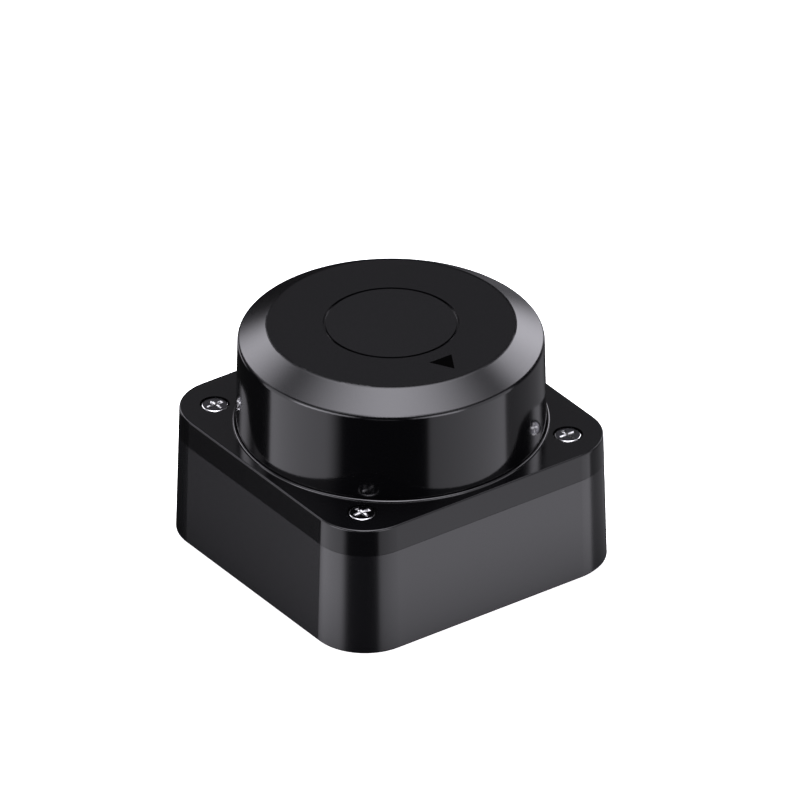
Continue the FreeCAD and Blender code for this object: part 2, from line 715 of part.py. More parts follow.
def build_main_board():
    """Board with corners notched round the bosses, and its screw and pin holes."""
    body = new_body("main_board")
    side = f"({CAVITY_SIDE} - 2*board_gap)"
    pad(body, Outline(body, "outline", height=BOARD_Z).rounded(side, side, "boss_r"), "board_t")
    notches = Outline(body, "notches", height=BOARD_TOP)
    pocket(body, notches.circles("boss_r + board_gap", corners(SCREW_XY, SCREW_XY)), "board_t")
    holes = Outline(body, "holes", height=BOARD_TOP)
    holes.circles("small_screw_r + screw_clear", corners("post_x", POST_Y))
    holes.circles("small_screw_r + screw_clear", MOTOR_SCREW_PLACES)
    pins = [(f"{FIRST_PIN_X} + {step}*pin_pitch", PIN_Y) for step in range(int(measure("pin_count")))]
    holes.circles("pin_side*0.5*sqrt(2) + pin_gap", pins)
    pocket(body, holes, "board_t")


def build_board_parts():
    """What the main board carries, and the screws that hold it to the posts."""
    plain_screws("board_screws", corners("post_x", POST_Y), ("small_head_r", "small_head_h"),
                 ("small_screw_r", "board_t + board_screw_grip"), seat=BOARD_TOP)
    block("processor_chip", "processor_side", "processor_side", "chip_t",
          f"-({CAVITY_SIDE}/2 - chip_inset)", "0", BOARD_TOP)
    drivers = [
        block(f"driver_{side}", "driver_side", "driver_side", "chip_t",
              f"{sign}*driver_x", f"-({CAVITY_SIDE}/2 - chip_inset)", BOARD_TOP, piece=False)
        for side, sign in (("left", -1), ("right", 1))
    ]
    new_node("Part::Compound", "driver_chips").Links = drivers
    block("link_receiver", "link_side", "link_side", "link_t", z=BOARD_TOP)


def build_interface_connector():
    """Shrouded pin header, open to the rear, with a keyway in its top."""
    body = new_body("interface_connector")
    half_w = f"{CONNECTOR_W}/2"
    roof = f"{BOARD_TOP} + connector_h"
    shell = Outline(body, "shell", "XZ_Plane", f"-{CONNECTOR_FACE}")
    pad(body, shell.box(f"-{half_w}", half_w, BOARD_TOP, roof), "connector_len")
    cavity = Outline(body, "cavity", "XZ_Plane", f"-({CONNECTOR_BACK} + connector_back_t)")
    cavity.box(f"-({half_w} - connector_wall)", f"{half_w} - connector_wall",
               f"{BOARD_TOP} + connector_wall", f"{roof} - connector_wall")
    pocket(body, cavity, "connector_len - connector_back_t")
    keyway = Outline(body, "keyway", "XZ_Plane", f"-({CONNECTOR_BACK} + connector_back_t)")
    keyway.box("-key_w/2", "key_w/2", f"{roof} - 2*connector_wall", roof)
    pocket(body, keyway, "connector_len - connector_back_t")
    holes = Outline(body, "pin_holes", "XZ_Plane", f"-{CONNECTOR_BACK}")
    half_pin = "(pin_side/2 + pin_gap)"
    for step in range(int(measure("pin_count"))):
        centre = f"{FIRST_PIN_X} + {step}*pin_pitch"
        holes.box(f"{centre} - {half_pin}", f"{centre} + {half_pin}",
                  f"{PIN_Z} - {half_pin}", f"{PIN_Z} + {half_pin}")
    pocket(body, holes, "connector_back_t")


def build_connector_pins():
    """Bent square pins from the shroud down through the board."""
    body = new_body("connector_pins")
    front = f"{CONNECTOR_BACK} + connector_back_t + pin_reach"
    low = f"{BOARD_Z} - pin_tail"
    half = "pin_side/2"
    bend = [
        (f"{PIN_Y} - {half}", low),
        (f"{PIN_Y} + {half}", low),
        (f"{PIN_Y} + {half}", f"{PIN_Z} - {half}"),
        (front, f"{PIN_Z} - {half}"),
        (front, f"{PIN_Z} + {half}"),
        (f"{PIN_Y} - {half}", f"{PIN_Z} + {half}"),
    ]
    pin = pad(body, Outline(body, "bend", "YZ_Plane", FIRST_PIN_X).profile(bend), "pin_side", middle=True)
    doc.recompute()
    row = body.newObject("PartDesign::LinearPattern", "connector_pins_row")
    row.Originals = [pin]
    row.Direction = (origin_part(body, "X_Axis"), [""])
    row.setExpression("Length", bound("(pin_count - 1)*pin_pitch"))
    row.setExpression("Occurrences", bound("pin_count"))
    body.Tip = row


# Motor


def build_motor_mount():
    """Flange and bearing tube, with a seat at each end of the tube."""
    body = new_body("motor_mount")
    section = [
        (SEAT_R, BOARD_TOP),
        (MOUNT_R, BOARD_TOP),
        (MOUNT_R, f"{BOARD_TOP} + mount_flange_t"),
        ("mount_step_r", f"{BOARD_TOP} + mount_flange_t"),
        ("mount_step_r", CORE_Z),
        ("tube_r", CORE_Z),
        ("tube_r", TUBE_TOP),
        (SEAT_R, TUBE_TOP),
        (SEAT_R, UP_BEARING_Z),
        ("tube_step_r", UP_BEARING_Z),
        ("tube_step_r", LOW_BEARING_TOP),
        (SEAT_R, LOW_BEARING_TOP),
    ]
    turn(body, Outline(body, "section", "XZ_Plane").profile(section))
    holes = Outline(body, "screw_holes", height=BOARD_TOP)
    holes.circles("small_screw_r + thread_gap", MOTOR_SCREW_PLACES)
    pocket(body, holes, "mount_flange_t", reverse=True)
    plain_screws("motor_screws", MOTOR_SCREW_PLACES, ("small_head_r", "small_head_h"),
                 ("small_screw_r", "board_t + mount_flange_t"), seat=BOARD_Z, heads_up=False)


def build_bearing(name, low):
    """Shielded ball bearing as one ring, its shields set back between the two races."""
    body = new_body(name)
    inner = f"({SHAFT_FIT_R} + bearing_ring_t)"
    outer = "(bearing_r - bearing_ring_t)"
    high = f"({low} + bearing_w)"
    section = [
        (SHAFT_FIT_R, low), (inner, low), (inner, f"{low} + shield_depth"),
        (outer, f"{low} + shield_depth"), (outer, low), ("bearing_r", low),
        ("bearing_r", high), (outer, high), (outer, f"{high} - shield_depth"),
        (inner, f"{high} - shield_depth"), (inner, high), (SHAFT_FIT_R, high),
    ]
    turn(body, Outline(body, "section", "XZ_Plane").profile(section))


def build_stator_core():
    """Slotted iron core: a ring with a slot cut between each two teeth."""
    body = new_body("stator_core")
    pad(body, Outline(body, "ring", height=CORE_Z).circle("core_r").circle("tube_r + fit_gap"), "core_h")
    half_step = "(180 deg/tooth_count)"

    def tooth_side(radius):
        """Where the side of the next tooth crosses a circle, seen from the slot's middle line."""
        along = f"sqrt({radius}*{radius} - tooth_w*tooth_w/4)"
        x = f"({along}*cos({half_step}) + tooth_w/2*sin({half_step}))"
        return x, f"({along}*sin({half_step}) - tooth_w/2*cos({half_step}))"

    root_x, root_y = tooth_side(CORE_HUB_R)
    tip_x, tip_y = tooth_side(TOOTH_END)
    past = "(core_r + tooth_tip_t)"
    slot = [
        (root_x, f"-{root_y}"), (tip_x, f"-{tip_y}"), (tip_x, "-slot_mouth/2"), (past, "-slot_mouth/2"),
        (past, "slot_mouth/2"), (tip_x, "slot_mouth/2"), (tip_x, tip_y), (root_x, root_y),
    ]
    first = pocket(body, Outline(body, "slot", height=f"{CORE_Z} + core_h").profile(slot), "core_h")
    repeat(body, [first], "tooth_count")


def build_stator_windings():
    """One coil round each tooth."""
    body = new_body("stator_windings")
    inner_w = "(tooth_w/2 + coil_gap)"
    outer_w = f"({inner_w} + coil_build)"
    low = f"({CORE_Z} - coil_gap)"
    high = f"({CORE_Z} + core_h + coil_gap)"
    start = f"({CORE_HUB_R} + coil_end_gap)"
    end = f"({TOOTH_END} - coil_end_gap)"
    coil = Outline(body, "coil", "YZ_Plane", start)
    coil.box(f"-{outer_w}", outer_w, f"{low} - coil_build", f"{high} + coil_build")
    coil.box(f"-{inner_w}", inner_w, low, high)
    first = pad(body, coil, f"{end} - {start}")
    doc.recompute()
    half_step = "180/tooth_count"
    body.setExpression("Placement.Rotation.Angle", bound(half_step))
    repeat(body, [first], "tooth_count")


def build_motor_shaft():
    """Hollow shaft with the groove for its clip."""
    body = new_body("motor_shaft")
    low = f"{LOW_BEARING_Z} - shaft_tail"
    section = [
        ("shaft_bore_r", low), ("shaft_r", low), ("shaft_r", CLIP_Z), (GROOVE_R, CLIP_Z),
        (GROOVE_R, f"{CLIP_Z} + clip_t"), ("shaft_r", f"{CLIP_Z} + clip_t"),
        ("shaft_r", DECK_TOP), ("shaft_bore_r", DECK_TOP),
    ]
    turn(body, Outline(body, "section", "XZ_Plane").profile(section))


def build_retaining_clip():
    """Open clip in the shaft's groove."""
    body = new_body("retaining_clip")
    ring = Outline(body, "ring", height=f"{CLIP_Z} + fit_gap")
    pad(body, ring.circle("clip_r").circle(f"{GROOVE_R} + fit_gap"), "clip_t - 2*fit_gap")
    mouth = Outline(body, "mouth", height=f"{CLIP_Z} + clip_t")
    pocket(body, mouth.box("-clip_mouth/2", "clip_mouth/2", "0", "clip_r + clip_t"), "clip_t")


def build_rotor():
    """Bell and ring magnet that turn round the stator."""
    body = new_body("rotor_bell")
    low = f"{DECK_Z} - bell_h"
    section = [
        (SHAFT_FIT_R, HUB_Z), (BELL_IN_R, HUB_Z), (BELL_IN_R, low), (BELL_R, low),
        (BELL_R, DECK_Z), (SHAFT_FIT_R, DECK_Z),
    ]
    turn(body, Outline(body, "section", "XZ_Plane").profile(section))
    soften(body, "Chamfer", "bell_bevel", DECK_Z, BELL_R)
    holes = Outline(body, "screw_holes", height=DECK_Z)
    pocket(body, holes.circles("small_screw_r + thread_gap", DECK_SCREW_PLACES), "bell_top_t")
    washer("rotor_magnet", MAGNET_IN_R, f"{MAGNET_IN_R} + magnet_t", MAGNET_Z, f"{MAGNET_Z} + magnet_h")


# Contactless supply and encoder


def build_coils():
    """Fixed power coil on its carrier, and the pickup coil above it on the scanner."""
    body = new_body("coil_carrier")
    section = [
        (f"{COIL_IN} - carrier_lip", CARRIER_Z), (COIL_OUT, CARRIER_Z), (COIL_OUT, COIL_Z),
        (f"{COIL_IN} + fit_gap", COIL_Z), (f"{COIL_IN} + fit_gap", f"{COIL_Z} + coil_t"),
        (f"{COIL_IN} - carrier_lip", f"{COIL_Z} + coil_t"),
    ]
    turn(body, Outline(body, "section", "XZ_Plane").profile(section))
    places = ring_places(f"(({COIL_IN} + {COIL_OUT})/2)", "carrier_leg_count", "carrier_leg_turn")
    legs = Outline(body, "legs", height=BOARD_TOP).circles("carrier_leg_r", places)
    pad(body, legs, f"{CARRIER_Z} - {BOARD_TOP}")
    washer("power_coil", f"{COIL_IN} + 2*fit_gap", COIL_OUT, COIL_Z, f"{COIL_Z} + coil_t")
    washer("pickup_coil", COIL_IN, COIL_OUT, PICKUP_Z, DECK_Z)


def build_encoder():
    """Slotted ring under the deck's edge, and the fork that it runs through."""
    ring = washer("encoder_ring", ENCODER_IN, ENCODER_OUT, ENCODER_Z, DECK_Z)
    slot = Outline(ring, "slot", height=ENCODER_Z)
    slot.box(f"{ENCODER_IN} - encoder_wall", f"{ENCODER_OUT} + encoder_wall",
             "-encoder_slot_w/2", "encoder_slot_w/2")
    repeat(ring, [pocket(ring, slot, "encoder_slot_h", reverse=True)], "encoder_slots")
    fork = new_body("encoder_sensor")
    top = f"{DECK_Z} - fork_gap"
    root = f"{ENCODER_Z} - fork_gap"
    outline = [
        (FORK_IN, BOARD_TOP), (FORK_OUT, BOARD_TOP), (FORK_OUT, top), (f"{FORK_OUT} - fork_arm", top),
        (f"{FORK_OUT} - fork_arm", root), (f"{FORK_IN} + fork_arm", root),
        (f"{FORK_IN} + fork_arm", top), (FORK_IN, top),
    ]
    pad(fork, Outline(fork, "outline", "XZ_Plane").profile(outline), "fork_w", middle=True)


# Scanner


def build_scanner_deck():
    """Deck on the bell, its board, and the screws that join them."""
    body = new_body("scanner_deck")
    pad(body, Outline(body, "outline", height=DECK_Z).circle(DECK_R).circle(SHAFT_FIT_R), "deck_t")
    holes = Outline(body, "holes", height=DECK_TOP)
    holes.circles("small_screw_r + screw_clear", DECK_SCREW_PLACES + HOLDER_SCREW_PLACES)
    pocket(body, holes, "deck_t")
    plain_screws("deck_screws", DECK_SCREW_PLACES, ("deck_head_r", "deck_head_h"),
                 ("small_screw_r", "deck_t + bell_top_t"), seat=DECK_TOP)
    body = new_body("rotor_board")
    outline = Outline(body, "outline", height=DECK_TOP)
    pad(body, outline.circle(f"{DECK_R} - rotor_board_inset").circle("shaft_bore_r"), "rotor_board_t")
    holes = Outline(body, "holes", height=ROTOR_BOARD_TOP)
    holes.circles("deck_head_r + screw_clear", DECK_SCREW_PLACES)
    holes.circles("small_screw_r + screw_clear", HOLDER_SCREW_PLACES)
    pocket(body, holes, "rotor_board_t")
    plain_screws("holder_screws", HOLDER_SCREW_PLACES, ("holder_head_r", "holder_head_h"),
                 ("small_screw_r", "deck_t + rotor_board_t + holder_grip"), seat=DECK_Z, heads_up=False)
    block("link_emitter", "link_side", "link_side", "link_t", z=ROTOR_BOARD_TOP)
    block("ranging_chip", "ranging_side", "ranging_side", "chip_t", "0", "ranging_y", ROTOR_BOARD_TOP)
    body = new_body("balance_weight")
    outer = f"({DECK_R} - weight_inset)"
    pad(body, Outline(body, "ring", height=ROTOR_BOARD_TOP).circle(outer).circle("weight_in_r"), "weight_h")
    front = Outline(body, "front", height=f"{ROTOR_BOARD_TOP} + weight_h")
    pocket(body, front.box(f"-2*{outer}", f"2*{outer}", f"-2*{outer}", "weight_cut_y"), "weight_h")


def tiny_places(x, wide, high):
    """Two screw places at opposite corners of a sensor board."""
    reach = (f"({wide}/2 - tiny_inset)", f"({high}/2 - tiny_inset)")
    return [(f"{x} {sign} {reach[0]}", f"{LENS_Z} {sign} {reach[1]}") for sign in ("+", "-")]


RECEIVE_SEAT_R = f"({RECEIVE_BARREL_R} - barrel_wall)"
TRANSMIT_SEAT_R = "(transmit_barrel_r - barrel_wall)"
TINY_PLACES = (tiny_places("receive_x", "receiver_board_w", "receiver_board_h")
               + tiny_places("-transmit_x", "laser_board_w", "laser_board_h"))


def build_lens_holder():
    """Moulded holder: base, back plate, two barrels, the web between them and a rib under the small one."""
    body = new_body("lens_holder")
    base = Outline(body, "base", height=ROTOR_BOARD_TOP).rounded(
        f"2*{HOLDER_HALF_X}", f"(holder_front + {PLATE_BACK})", "holder_corner_r",
        y=f"(({PLATE_BACK} - holder_front)/2)")
    pad(body, base, "holder_base_t")
    plate_top = f"({ROOF_Z} - barrel_gap)"
    plate = Outline(body, "plate", "XZ_Plane", f"-{PLATE_BACK}").rounded(
        f"2*{HOLDER_HALF_X}", f"({plate_top} - {ROTOR_BOARD_TOP})", "holder_corner_r",
        y=f"(({plate_top} + {ROTOR_BOARD_TOP})/2)")
    pad(body, plate, "plate_t")
    barrels = (
        ("receive", "receive_x", RECEIVE_BARREL_R, RECEIVE_SEAT_R, "sensor_side/2*sqrt(2) + sensor_gap"),
        ("transmit", "-transmit_x", "transmit_barrel_r", TRANSMIT_SEAT_R, "laser_base_r + laser_gap"),
    )
    for side, x, outer, _, _ in barrels:
        barrel = Outline(body, f"{side}_barrel", "XZ_Plane", "-plate_y").circle(outer, x, LENS_Z)
        pad(body, barrel, f"{FRONT} + plate_y")
    rib = Outline(body, "rib", height=HOLDER_TOP)
    rib.box("-(transmit_x + rib_t/2)", "-(transmit_x - rib_t/2)", f"-({FRONT} - rib_inset)", "plate_y")
    pad(body, rib, f"{LENS_Z} - {HOLDER_TOP}")
    web = Outline(body, "web", height=f"{LENS_Z} - rib_t/2")
    pad(body, web.box("-transmit_x", "receive_x", f"-({FRONT} - rib_inset)", "plate_y"), "rib_t")
    for side, x, _, seat, aperture in barrels:
        for cut, radius, start, depth in (
                ("seat", seat, FRONT, "seat_depth"),
                ("bore", f"{seat} - lens_shoulder", FRONT, f"{FRONT} + plate_y"),
                ("aperture", aperture, "-plate_y", "plate_t")):
            pocket(body, Outline(body, f"{side}_{cut}", "XZ_Plane", start).circle(radius, x, LENS_Z), depth)
    holes = Outline(body, "screw_holes", height=ROTOR_BOARD_TOP)
    holes.circles("small_screw_r + thread_gap", HOLDER_SCREW_PLACES)
    pocket(body, holes, "holder_grip + screw_clear", reverse=True)
    relief = Outline(body, "relief", height=ROTOR_BOARD_TOP).circle("link_side/2*sqrt(2) + emitter_gap")
    pocket(body, relief, "link_t + emitter_gap", reverse=True)
    pilots = Outline(body, "pilots", "XZ_Plane", f"-{PLATE_BACK}")
    pilots.circles("tiny_screw_r + thread_gap", TINY_PLACES)
    pocket(body, pilots, "tiny_grip + screw_clear", reverse=True)


def build_lens(side, x, seat, bulge):
    """Plano-convex lens with a flat rim, and the ring that keeps it in its seat."""
    radius = f"({seat} - lens_fit)"
    dome_r = f"({radius} - lens_rim)"
    back = f"(seat_depth - {FRONT})"
    rim = f"({back} - lens_edge)"
    body = new_body(f"{side}_lens")
    section = [("0", back), (radius, back), (radius, rim), (dome_r, rim), ("0", f"{rim} - {bulge}")]
    turn(body, Outline(body, "section", height=LENS_Z, across=x).profile(section, domes=(3,)))
    body = new_body(f"{side}_lens_ring")
    ring = Outline(body, "section", height=LENS_Z, across=x).box(dome_r, radius, f"{rim} - lens_ring_t", rim)
    turn(body, ring)


def build_sensor_boards():
    """Receiver and laser boards behind the holder, with what they carry and their screws."""
    for name, x, wide, high in (("receiver_board", "receive_x", "receiver_board_w", "receiver_board_h"),
                                ("laser_board", "-transmit_x", "laser_board_w", "laser_board_h")):
        body = new_body(name)
        outline = Outline(body, "outline", "XZ_Plane", f"-{PLATE_BACK}")
        outline.rounded(wide, high, "sensor_board_corner", x, LENS_Z)
        outline.circles("tiny_screw_r + screw_clear/2", tiny_places(x, wide, high))
        pad(body, outline, "sensor_board_t", reverse=True)
    plain_screws("sensor_board_screws", TINY_PLACES, ("tiny_head_r", "tiny_head_h"),
                 ("tiny_screw_r", "sensor_board_t + tiny_grip"), "XZ_Plane", f"-{BOARD_BACK}", heads_up=False)
    block("receiver_sensor", "sensor_side", "chip_t", "sensor_side",
          "receive_x", f"{PLATE_BACK} - chip_t/2", f"{LENS_Z} - sensor_side/2")
    body = new_body("laser_diode")
    step = f"({PLATE_BACK} - laser_base_t)"
    section = [
        ("0", PLATE_BACK), ("0", f"{step} - laser_can_l"), ("laser_can_r", f"{step} - laser_can_l"),
        ("laser_can_r", step), ("laser_base_r", step), ("laser_base_r", PLATE_BACK),
    ]
    turn(body, Outline(body, "section", height=LENS_Z, across="-transmit_x").profile(section))


build_base_housing()
build_lid_gasket()
build_top_cover()
build_window_dome()
build_top_disc()
build_lid_screws()
build_mounting_inserts()
build_main_board()
build_board_parts()
build_interface_connector()
build_connector_pins()
build_motor_mount()
build_bearing("lower_bearing", LOW_BEARING_Z)
build_bearing("upper_bearing", UP_BEARING_Z)
build_stator_core()
build_stator_windings()
build_motor_shaft()
build_retaining_clip()
build_rotor()
build_coils()
build_encoder()
build_scanner_deck()
build_lens_holder()
build_lens("receive", "receive_x", RECEIVE_SEAT_R, "receive_bulge")
build_lens("transmit", "-transmit_x", TRANSMIT_SEAT_R, "transmit_bulge")
build_sensor_boards()

doc.recompute()
failed = [item.Name for item in doc.Objects if {"Invalid", "Error"} & set(item.State)]
failed += [item.Label for item in nodes if item.Shape.isNull() or not item.Shape.isValid()]
if failed:
    raise RuntimeError(f"failed: {', '.join(failed)}")

os.makedirs("parts", exist_ok=True)
for item in nodes:
    item.Shape.exportStep(f"parts/{item.Label}.step")
    print(f"{item.Label}: {len(item.Shape.Solids)} solids, {item.Shape.Volume:.1f} mm3")
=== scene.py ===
"""Finishes, studio and finer pieces of the compact scanning lidar sensor.

Metres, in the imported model's frame: the origin is the middle of the underside, +Z is up, the front is -Y
and the connector is in the rear wall at +Y. The scanner turns about Z.
"""
import bmesh
import bpy
import logging
import math
from dataclasses import dataclass
from enum import Enum
from mathutils import Matrix, Vector


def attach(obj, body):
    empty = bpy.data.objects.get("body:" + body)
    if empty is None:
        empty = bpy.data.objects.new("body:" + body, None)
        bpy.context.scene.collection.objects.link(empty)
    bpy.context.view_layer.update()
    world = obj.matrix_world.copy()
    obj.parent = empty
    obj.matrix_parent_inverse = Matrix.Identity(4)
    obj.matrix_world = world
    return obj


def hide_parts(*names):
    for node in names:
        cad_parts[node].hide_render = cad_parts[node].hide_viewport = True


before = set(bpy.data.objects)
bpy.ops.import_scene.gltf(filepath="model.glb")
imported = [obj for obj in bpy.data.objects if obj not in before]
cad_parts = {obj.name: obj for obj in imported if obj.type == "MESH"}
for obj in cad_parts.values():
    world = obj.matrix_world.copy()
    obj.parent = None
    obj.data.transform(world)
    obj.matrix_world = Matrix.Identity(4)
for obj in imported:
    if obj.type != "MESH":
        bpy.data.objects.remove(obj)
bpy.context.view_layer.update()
MM = 0.001
IMAGE_SIDE = 800
DAYLIGHT = "#f8f6ff"
WHITE = "#ffffff"
# Points nearer than this are one
MERGE_MM = 0.001
# A cut that passes a point nearer than this goes through it
CUT_MM = 0.0001
# Edges that turn more than this are drawn sharp
SHARP_DEG = 32.0
# How finely grain, patches and lines are broken up
GRAIN_DETAIL, GRAIN_ROUGHNESS = 2.0, 0.6
PATCH_DETAIL = 3.0
LINE_WANDER, LINE_DETAIL = 0.4, 1.0
# A wave texture repeats after this much of its scaled coordinate
WAVE_PERIOD = 2 * math.pi / 20
# Sockets of a Mix node that mixes colours
MIX_SHARE, MIX_FIRST, MIX_SECOND, MIX_RESULT = 0, 6, 7, 2
# Sides of the two middle planes on which the corners lie, from the front left corner on
CORNERS = ((-1, -1), (-1, 1), (1, 1), (1, -1))
Tree = bpy.types.NodeTree
Socket = bpy.types.NodeSocket
Shape = bmesh.types.BMesh
Face = bmesh.types.BMFace
Vert = bmesh.types.BMVert
log = logging.getLogger("lidar")


def to_linear(hex_colour: str) -> tuple[float, float, float, float]:
    """Turn an sRGB hex colour into linear values.

    Args:
        hex_colour: The colour as "#rrggbb".

    Returns:
        Linear red, green and blue, with a full alpha.
    """
    channels = [int(hex_colour[start:start + 2], 16) / 255 for start in (1, 3, 5)]
    linear = [c / 12.92 if c <= 0.04045 else ((c + 0.055) / 1.055) ** 2.4 for c in channels]
    return (*linear, 1.0)


def add_node(tree: Tree, kind: str, inputs: dict[str | int, object], **settings: object) -> bpy.types.Node:
    """Add a node with its settings, and set or link its inputs.

    Args:
        tree: The node tree that takes the node.
        kind: Blender's name of the node.
        inputs: For each input, by name or number, its value or the output that feeds it.
        **settings: The node's own properties.

    Returns:
        The new node.
    """
    node = tree.nodes.new(kind)
    for name, value in settings.items():
        setattr(node, name, value)
    for name, value in inputs.items():
        if isinstance(value, Socket):
            tree.links.new(value, node.inputs[name])
        else:
            node.inputs[name].default_value = value
    return node


class Pattern(Enum):
    """What the fine relief of a surface follows."""

    GRAIN = "grain of a moulded, plated or blasted skin"
    LATHE = "rings left by turning about the upright axis"
    SHEETS = "level lines of stacked sheets or wound wire"
    WEAVE = "square weave of glass cloth under the mask"


@dataclass(frozen=True)
class Finish:
    """What a piece is made of and how its surface was made.

    Attributes:
        name: The material's name and how its surface was made.
        colour: Main colour, sRGB hex.
        shade: Colour of the faint darker or lighter patches, sRGB hex.
        roughness: Middle roughness of the surface.
        spread: How far the roughness wanders either way over the relief.
        pitch_mm: Size of one grain, ring, sheet or thread, as it is drawn.
        depth_mm: Depth of the relief.
        pattern: What the relief follows.
        patch_mm: Size of the faint patches.
        metallic: 1 for a metal.
        ior: Index of refraction of the body or its clear coat.
        transmission: 1 for clear glass.
    """

    name: str
    colour: str
    shade: str
    roughness: float
    spread: float
    pitch_mm: float
    depth_mm: float
    pattern: Pattern = Pattern.GRAIN
    patch_mm: float = 12.0
    metallic: float = 0.0
    ior: float = 1.5
    transmission: float = 0.0

    def material(self) -> bpy.types.Material:
        """Make the material, or find it where another piece has it.

        Returns:
            The material.
        """
        made = bpy.data.materials.get(self.name)
        if made:
            return made
        made = bpy.data.materials.new(self.name)
        made.use_nodes = True
        tree = made.node_tree
        tree.nodes.clear()
        place = add_node(tree, "ShaderNodeTexCoord", {}).outputs["Object"]
        relief = self.relief(tree, place)
        bump = add_node(tree, "ShaderNodeBump", {"Height": relief, "Distance": self.depth_mm * MM})
        shader = add_node(tree, "ShaderNodeBsdfPrincipled", {
            "Base Color": self.tint(tree, place),
            "Roughness": self.sheen(tree, place, relief),
            "Metallic": self.metallic,
            "Transmission Weight": self.transmission,
            "Normal": bump.outputs["Normal"],
        })
        if not self.metallic:
            shader.inputs["IOR"].default_value = self.ior
        add_node(tree, "ShaderNodeOutputMaterial", {"Surface": shader.outputs["BSDF"]})
        return made

    def relief(self, tree: Tree, place: Socket) -> Socket:
        """Draw the fine relief.

        Args:
            tree: The material's node tree.
            place: Object coordinates.

        Returns:
            The relief's height, from 0 to 1.
        """
        pitch = self.pitch_mm * MM
        if self.pattern is Pattern.GRAIN:
            grain = {"Vector": place, "Scale": 1 / pitch,
                     "Detail": GRAIN_DETAIL, "Roughness": GRAIN_ROUGHNESS}
            return add_node(tree, "ShaderNodeTexNoise", grain).outputs["Fac"]
        lines = {"Vector": place, "Scale": WAVE_PERIOD / pitch,
                 "Distortion": LINE_WANDER, "Detail": LINE_DETAIL}
        if self.pattern is Pattern.LATHE:
            rings = add_node(tree, "ShaderNodeTexWave", lines, wave_type="RINGS", rings_direction="Z")
            return rings.outputs["Fac"]
        if self.pattern is Pattern.SHEETS:
            return add_node(tree, "ShaderNodeTexWave", lines, bands_direction="Z").outputs["Fac"]
        warp = add_node(tree, "ShaderNodeTexWave", lines, bands_direction="X").outputs["Fac"]
        weft = add_node(tree, "ShaderNodeTexWave", lines, bands_direction="Y").outputs["Fac"]
        return add_node(tree, "ShaderNodeMath", {0: warp, 1: weft}, operation="MULTIPLY").outputs["Value"]

    def tint(self, tree: Tree, place: Socket) -> Socket:
        """Draw the colour with its faint patches.

        Args:
            tree: The material's node tree.
            place: Object coordinates.

        Returns:
            The colour.
        """
        clouds = {"Vector": place, "Scale": 1 / (self.patch_mm * MM), "Detail": PATCH_DETAIL}
        patches = add_node(tree, "ShaderNodeTexNoise", clouds)
        mixed = add_node(tree, "ShaderNodeMix", {
            MIX_SHARE: patches.outputs["Fac"],
            MIX_FIRST: to_linear(self.colour),
            MIX_SECOND: to_linear(self.shade),
        }, data_type="RGBA")
        return mixed.outputs[MIX_RESULT]

    def sheen(self, tree: Tree, place: Socket, relief: Socket) -> Socket:
        """Draw a roughness that wanders with the relief, the same at every place.

        Args:
            tree: The material's node tree.
            place: Object coordinates; not used here.
            relief: Height of the fine relief.

        Returns:
            The roughness.
        """
        span = {"Value": relief,
                "To Min": self.roughness - self.spread, "To Max": self.roughness + self.spread}
        return add_node(tree, "ShaderNodeMapRange", span).outputs["Result"]


@dataclass(frozen=True)
class WindowFinish(Finish):
    """A moulding that is polished below a level and spark-eroded above it.

    Attributes:
        level_mm: Height where the polish ends.
        fade_mm: Height over which one surface passes into the other.
        upper_roughness: Roughness of the eroded part.
    """

    level_mm: float = 38.4
    fade_mm: float = 0.3
    upper_roughness: float = 0.24

    def sheen(self, tree: Tree, place: Socket, relief: Socket) -> Socket:
        """Draw a roughness that steps up at the level where the polish ends.

        Args:
            tree: The material's node tree.
            place: Object coordinates.
            relief: Height of the fine relief.

        Returns:
            The roughness.
        """
        height = add_node(tree, "ShaderNodeSeparateXYZ", {"Vector": place}).outputs["Z"]
        step = add_node(tree, "ShaderNodeMapRange", {
            "Value": height,
            "From Min": (self.level_mm - self.fade_mm / 2) * MM,
            "From Max": (self.level_mm + self.fade_mm / 2) * MM,
            "To Min": self.roughness,
            "To Max": self.upper_roughness,
        }, interpolation_type="SMOOTHSTEP").outputs["Result"]
        wander = {"Value": relief, "To Min": -self.spread, "To Max": self.spread}
        grain = add_node(tree, "ShaderNodeMapRange", wander).outputs["Result"]
        return add_node(tree, "ShaderNodeMath", {0: step, 1: grain}, operation="ADD").outputs["Value"]


@dataclass(frozen=True)
class PaintedHighlightFinish(Finish):
    """A dark plating, drawn in bright metal below the crown of a screw's head as a painted highlight on the
    rim and in the recess.

    Attributes:
        bright: Colour of the painted highlight below the crown, sRGB hex.
        crown_mm: Height above which the plating keeps its dark colour, free of the painted highlight.
        fade_mm: Height over which the painted highlight gives way to the plating.
    """

    bright: str = "#d6d6d6"
    crown_mm: float = 22.97
    fade_mm: float = 0.02

    def tint(self, tree: Tree, place: Socket) -> Socket:
        """Draw the plating's colour, with a painted highlight of bright metal below the crown.

        Args:
            tree: The material's node tree.
            place: Object coordinates.

        Returns:
            The colour.
        """
        # Painted highlight: below the crown, on the rim and in the recess, the colour turns to bright metal
        height = add_node(tree, "ShaderNodeSeparateXYZ", {"Vector": place}).outputs["Z"]
        whole = add_node(tree, "ShaderNodeMapRange", {
            "Value": height,
            "From Min": (self.crown_mm - self.fade_mm) * MM,
            "From Max": self.crown_mm * MM,
        })
        mixed = add_node(tree, "ShaderNodeMix", {
            MIX_SHARE: whole.outputs["Result"],
            MIX_FIRST: to_linear(self.bright),
            MIX_SECOND: super().tint(tree, place),
        }, data_type="RGBA")
        return mixed.outputs[MIX_RESULT]


# A millimetre is about six pixels in the picture. Moulded grain, plating and tool rings are really 0.02 to
# 0.1 mm across and would not show, so the finishes below draw them coarser, as coarse as they need to show.
# Glass cloth, stacked sheets and wound wire have their real pitch.

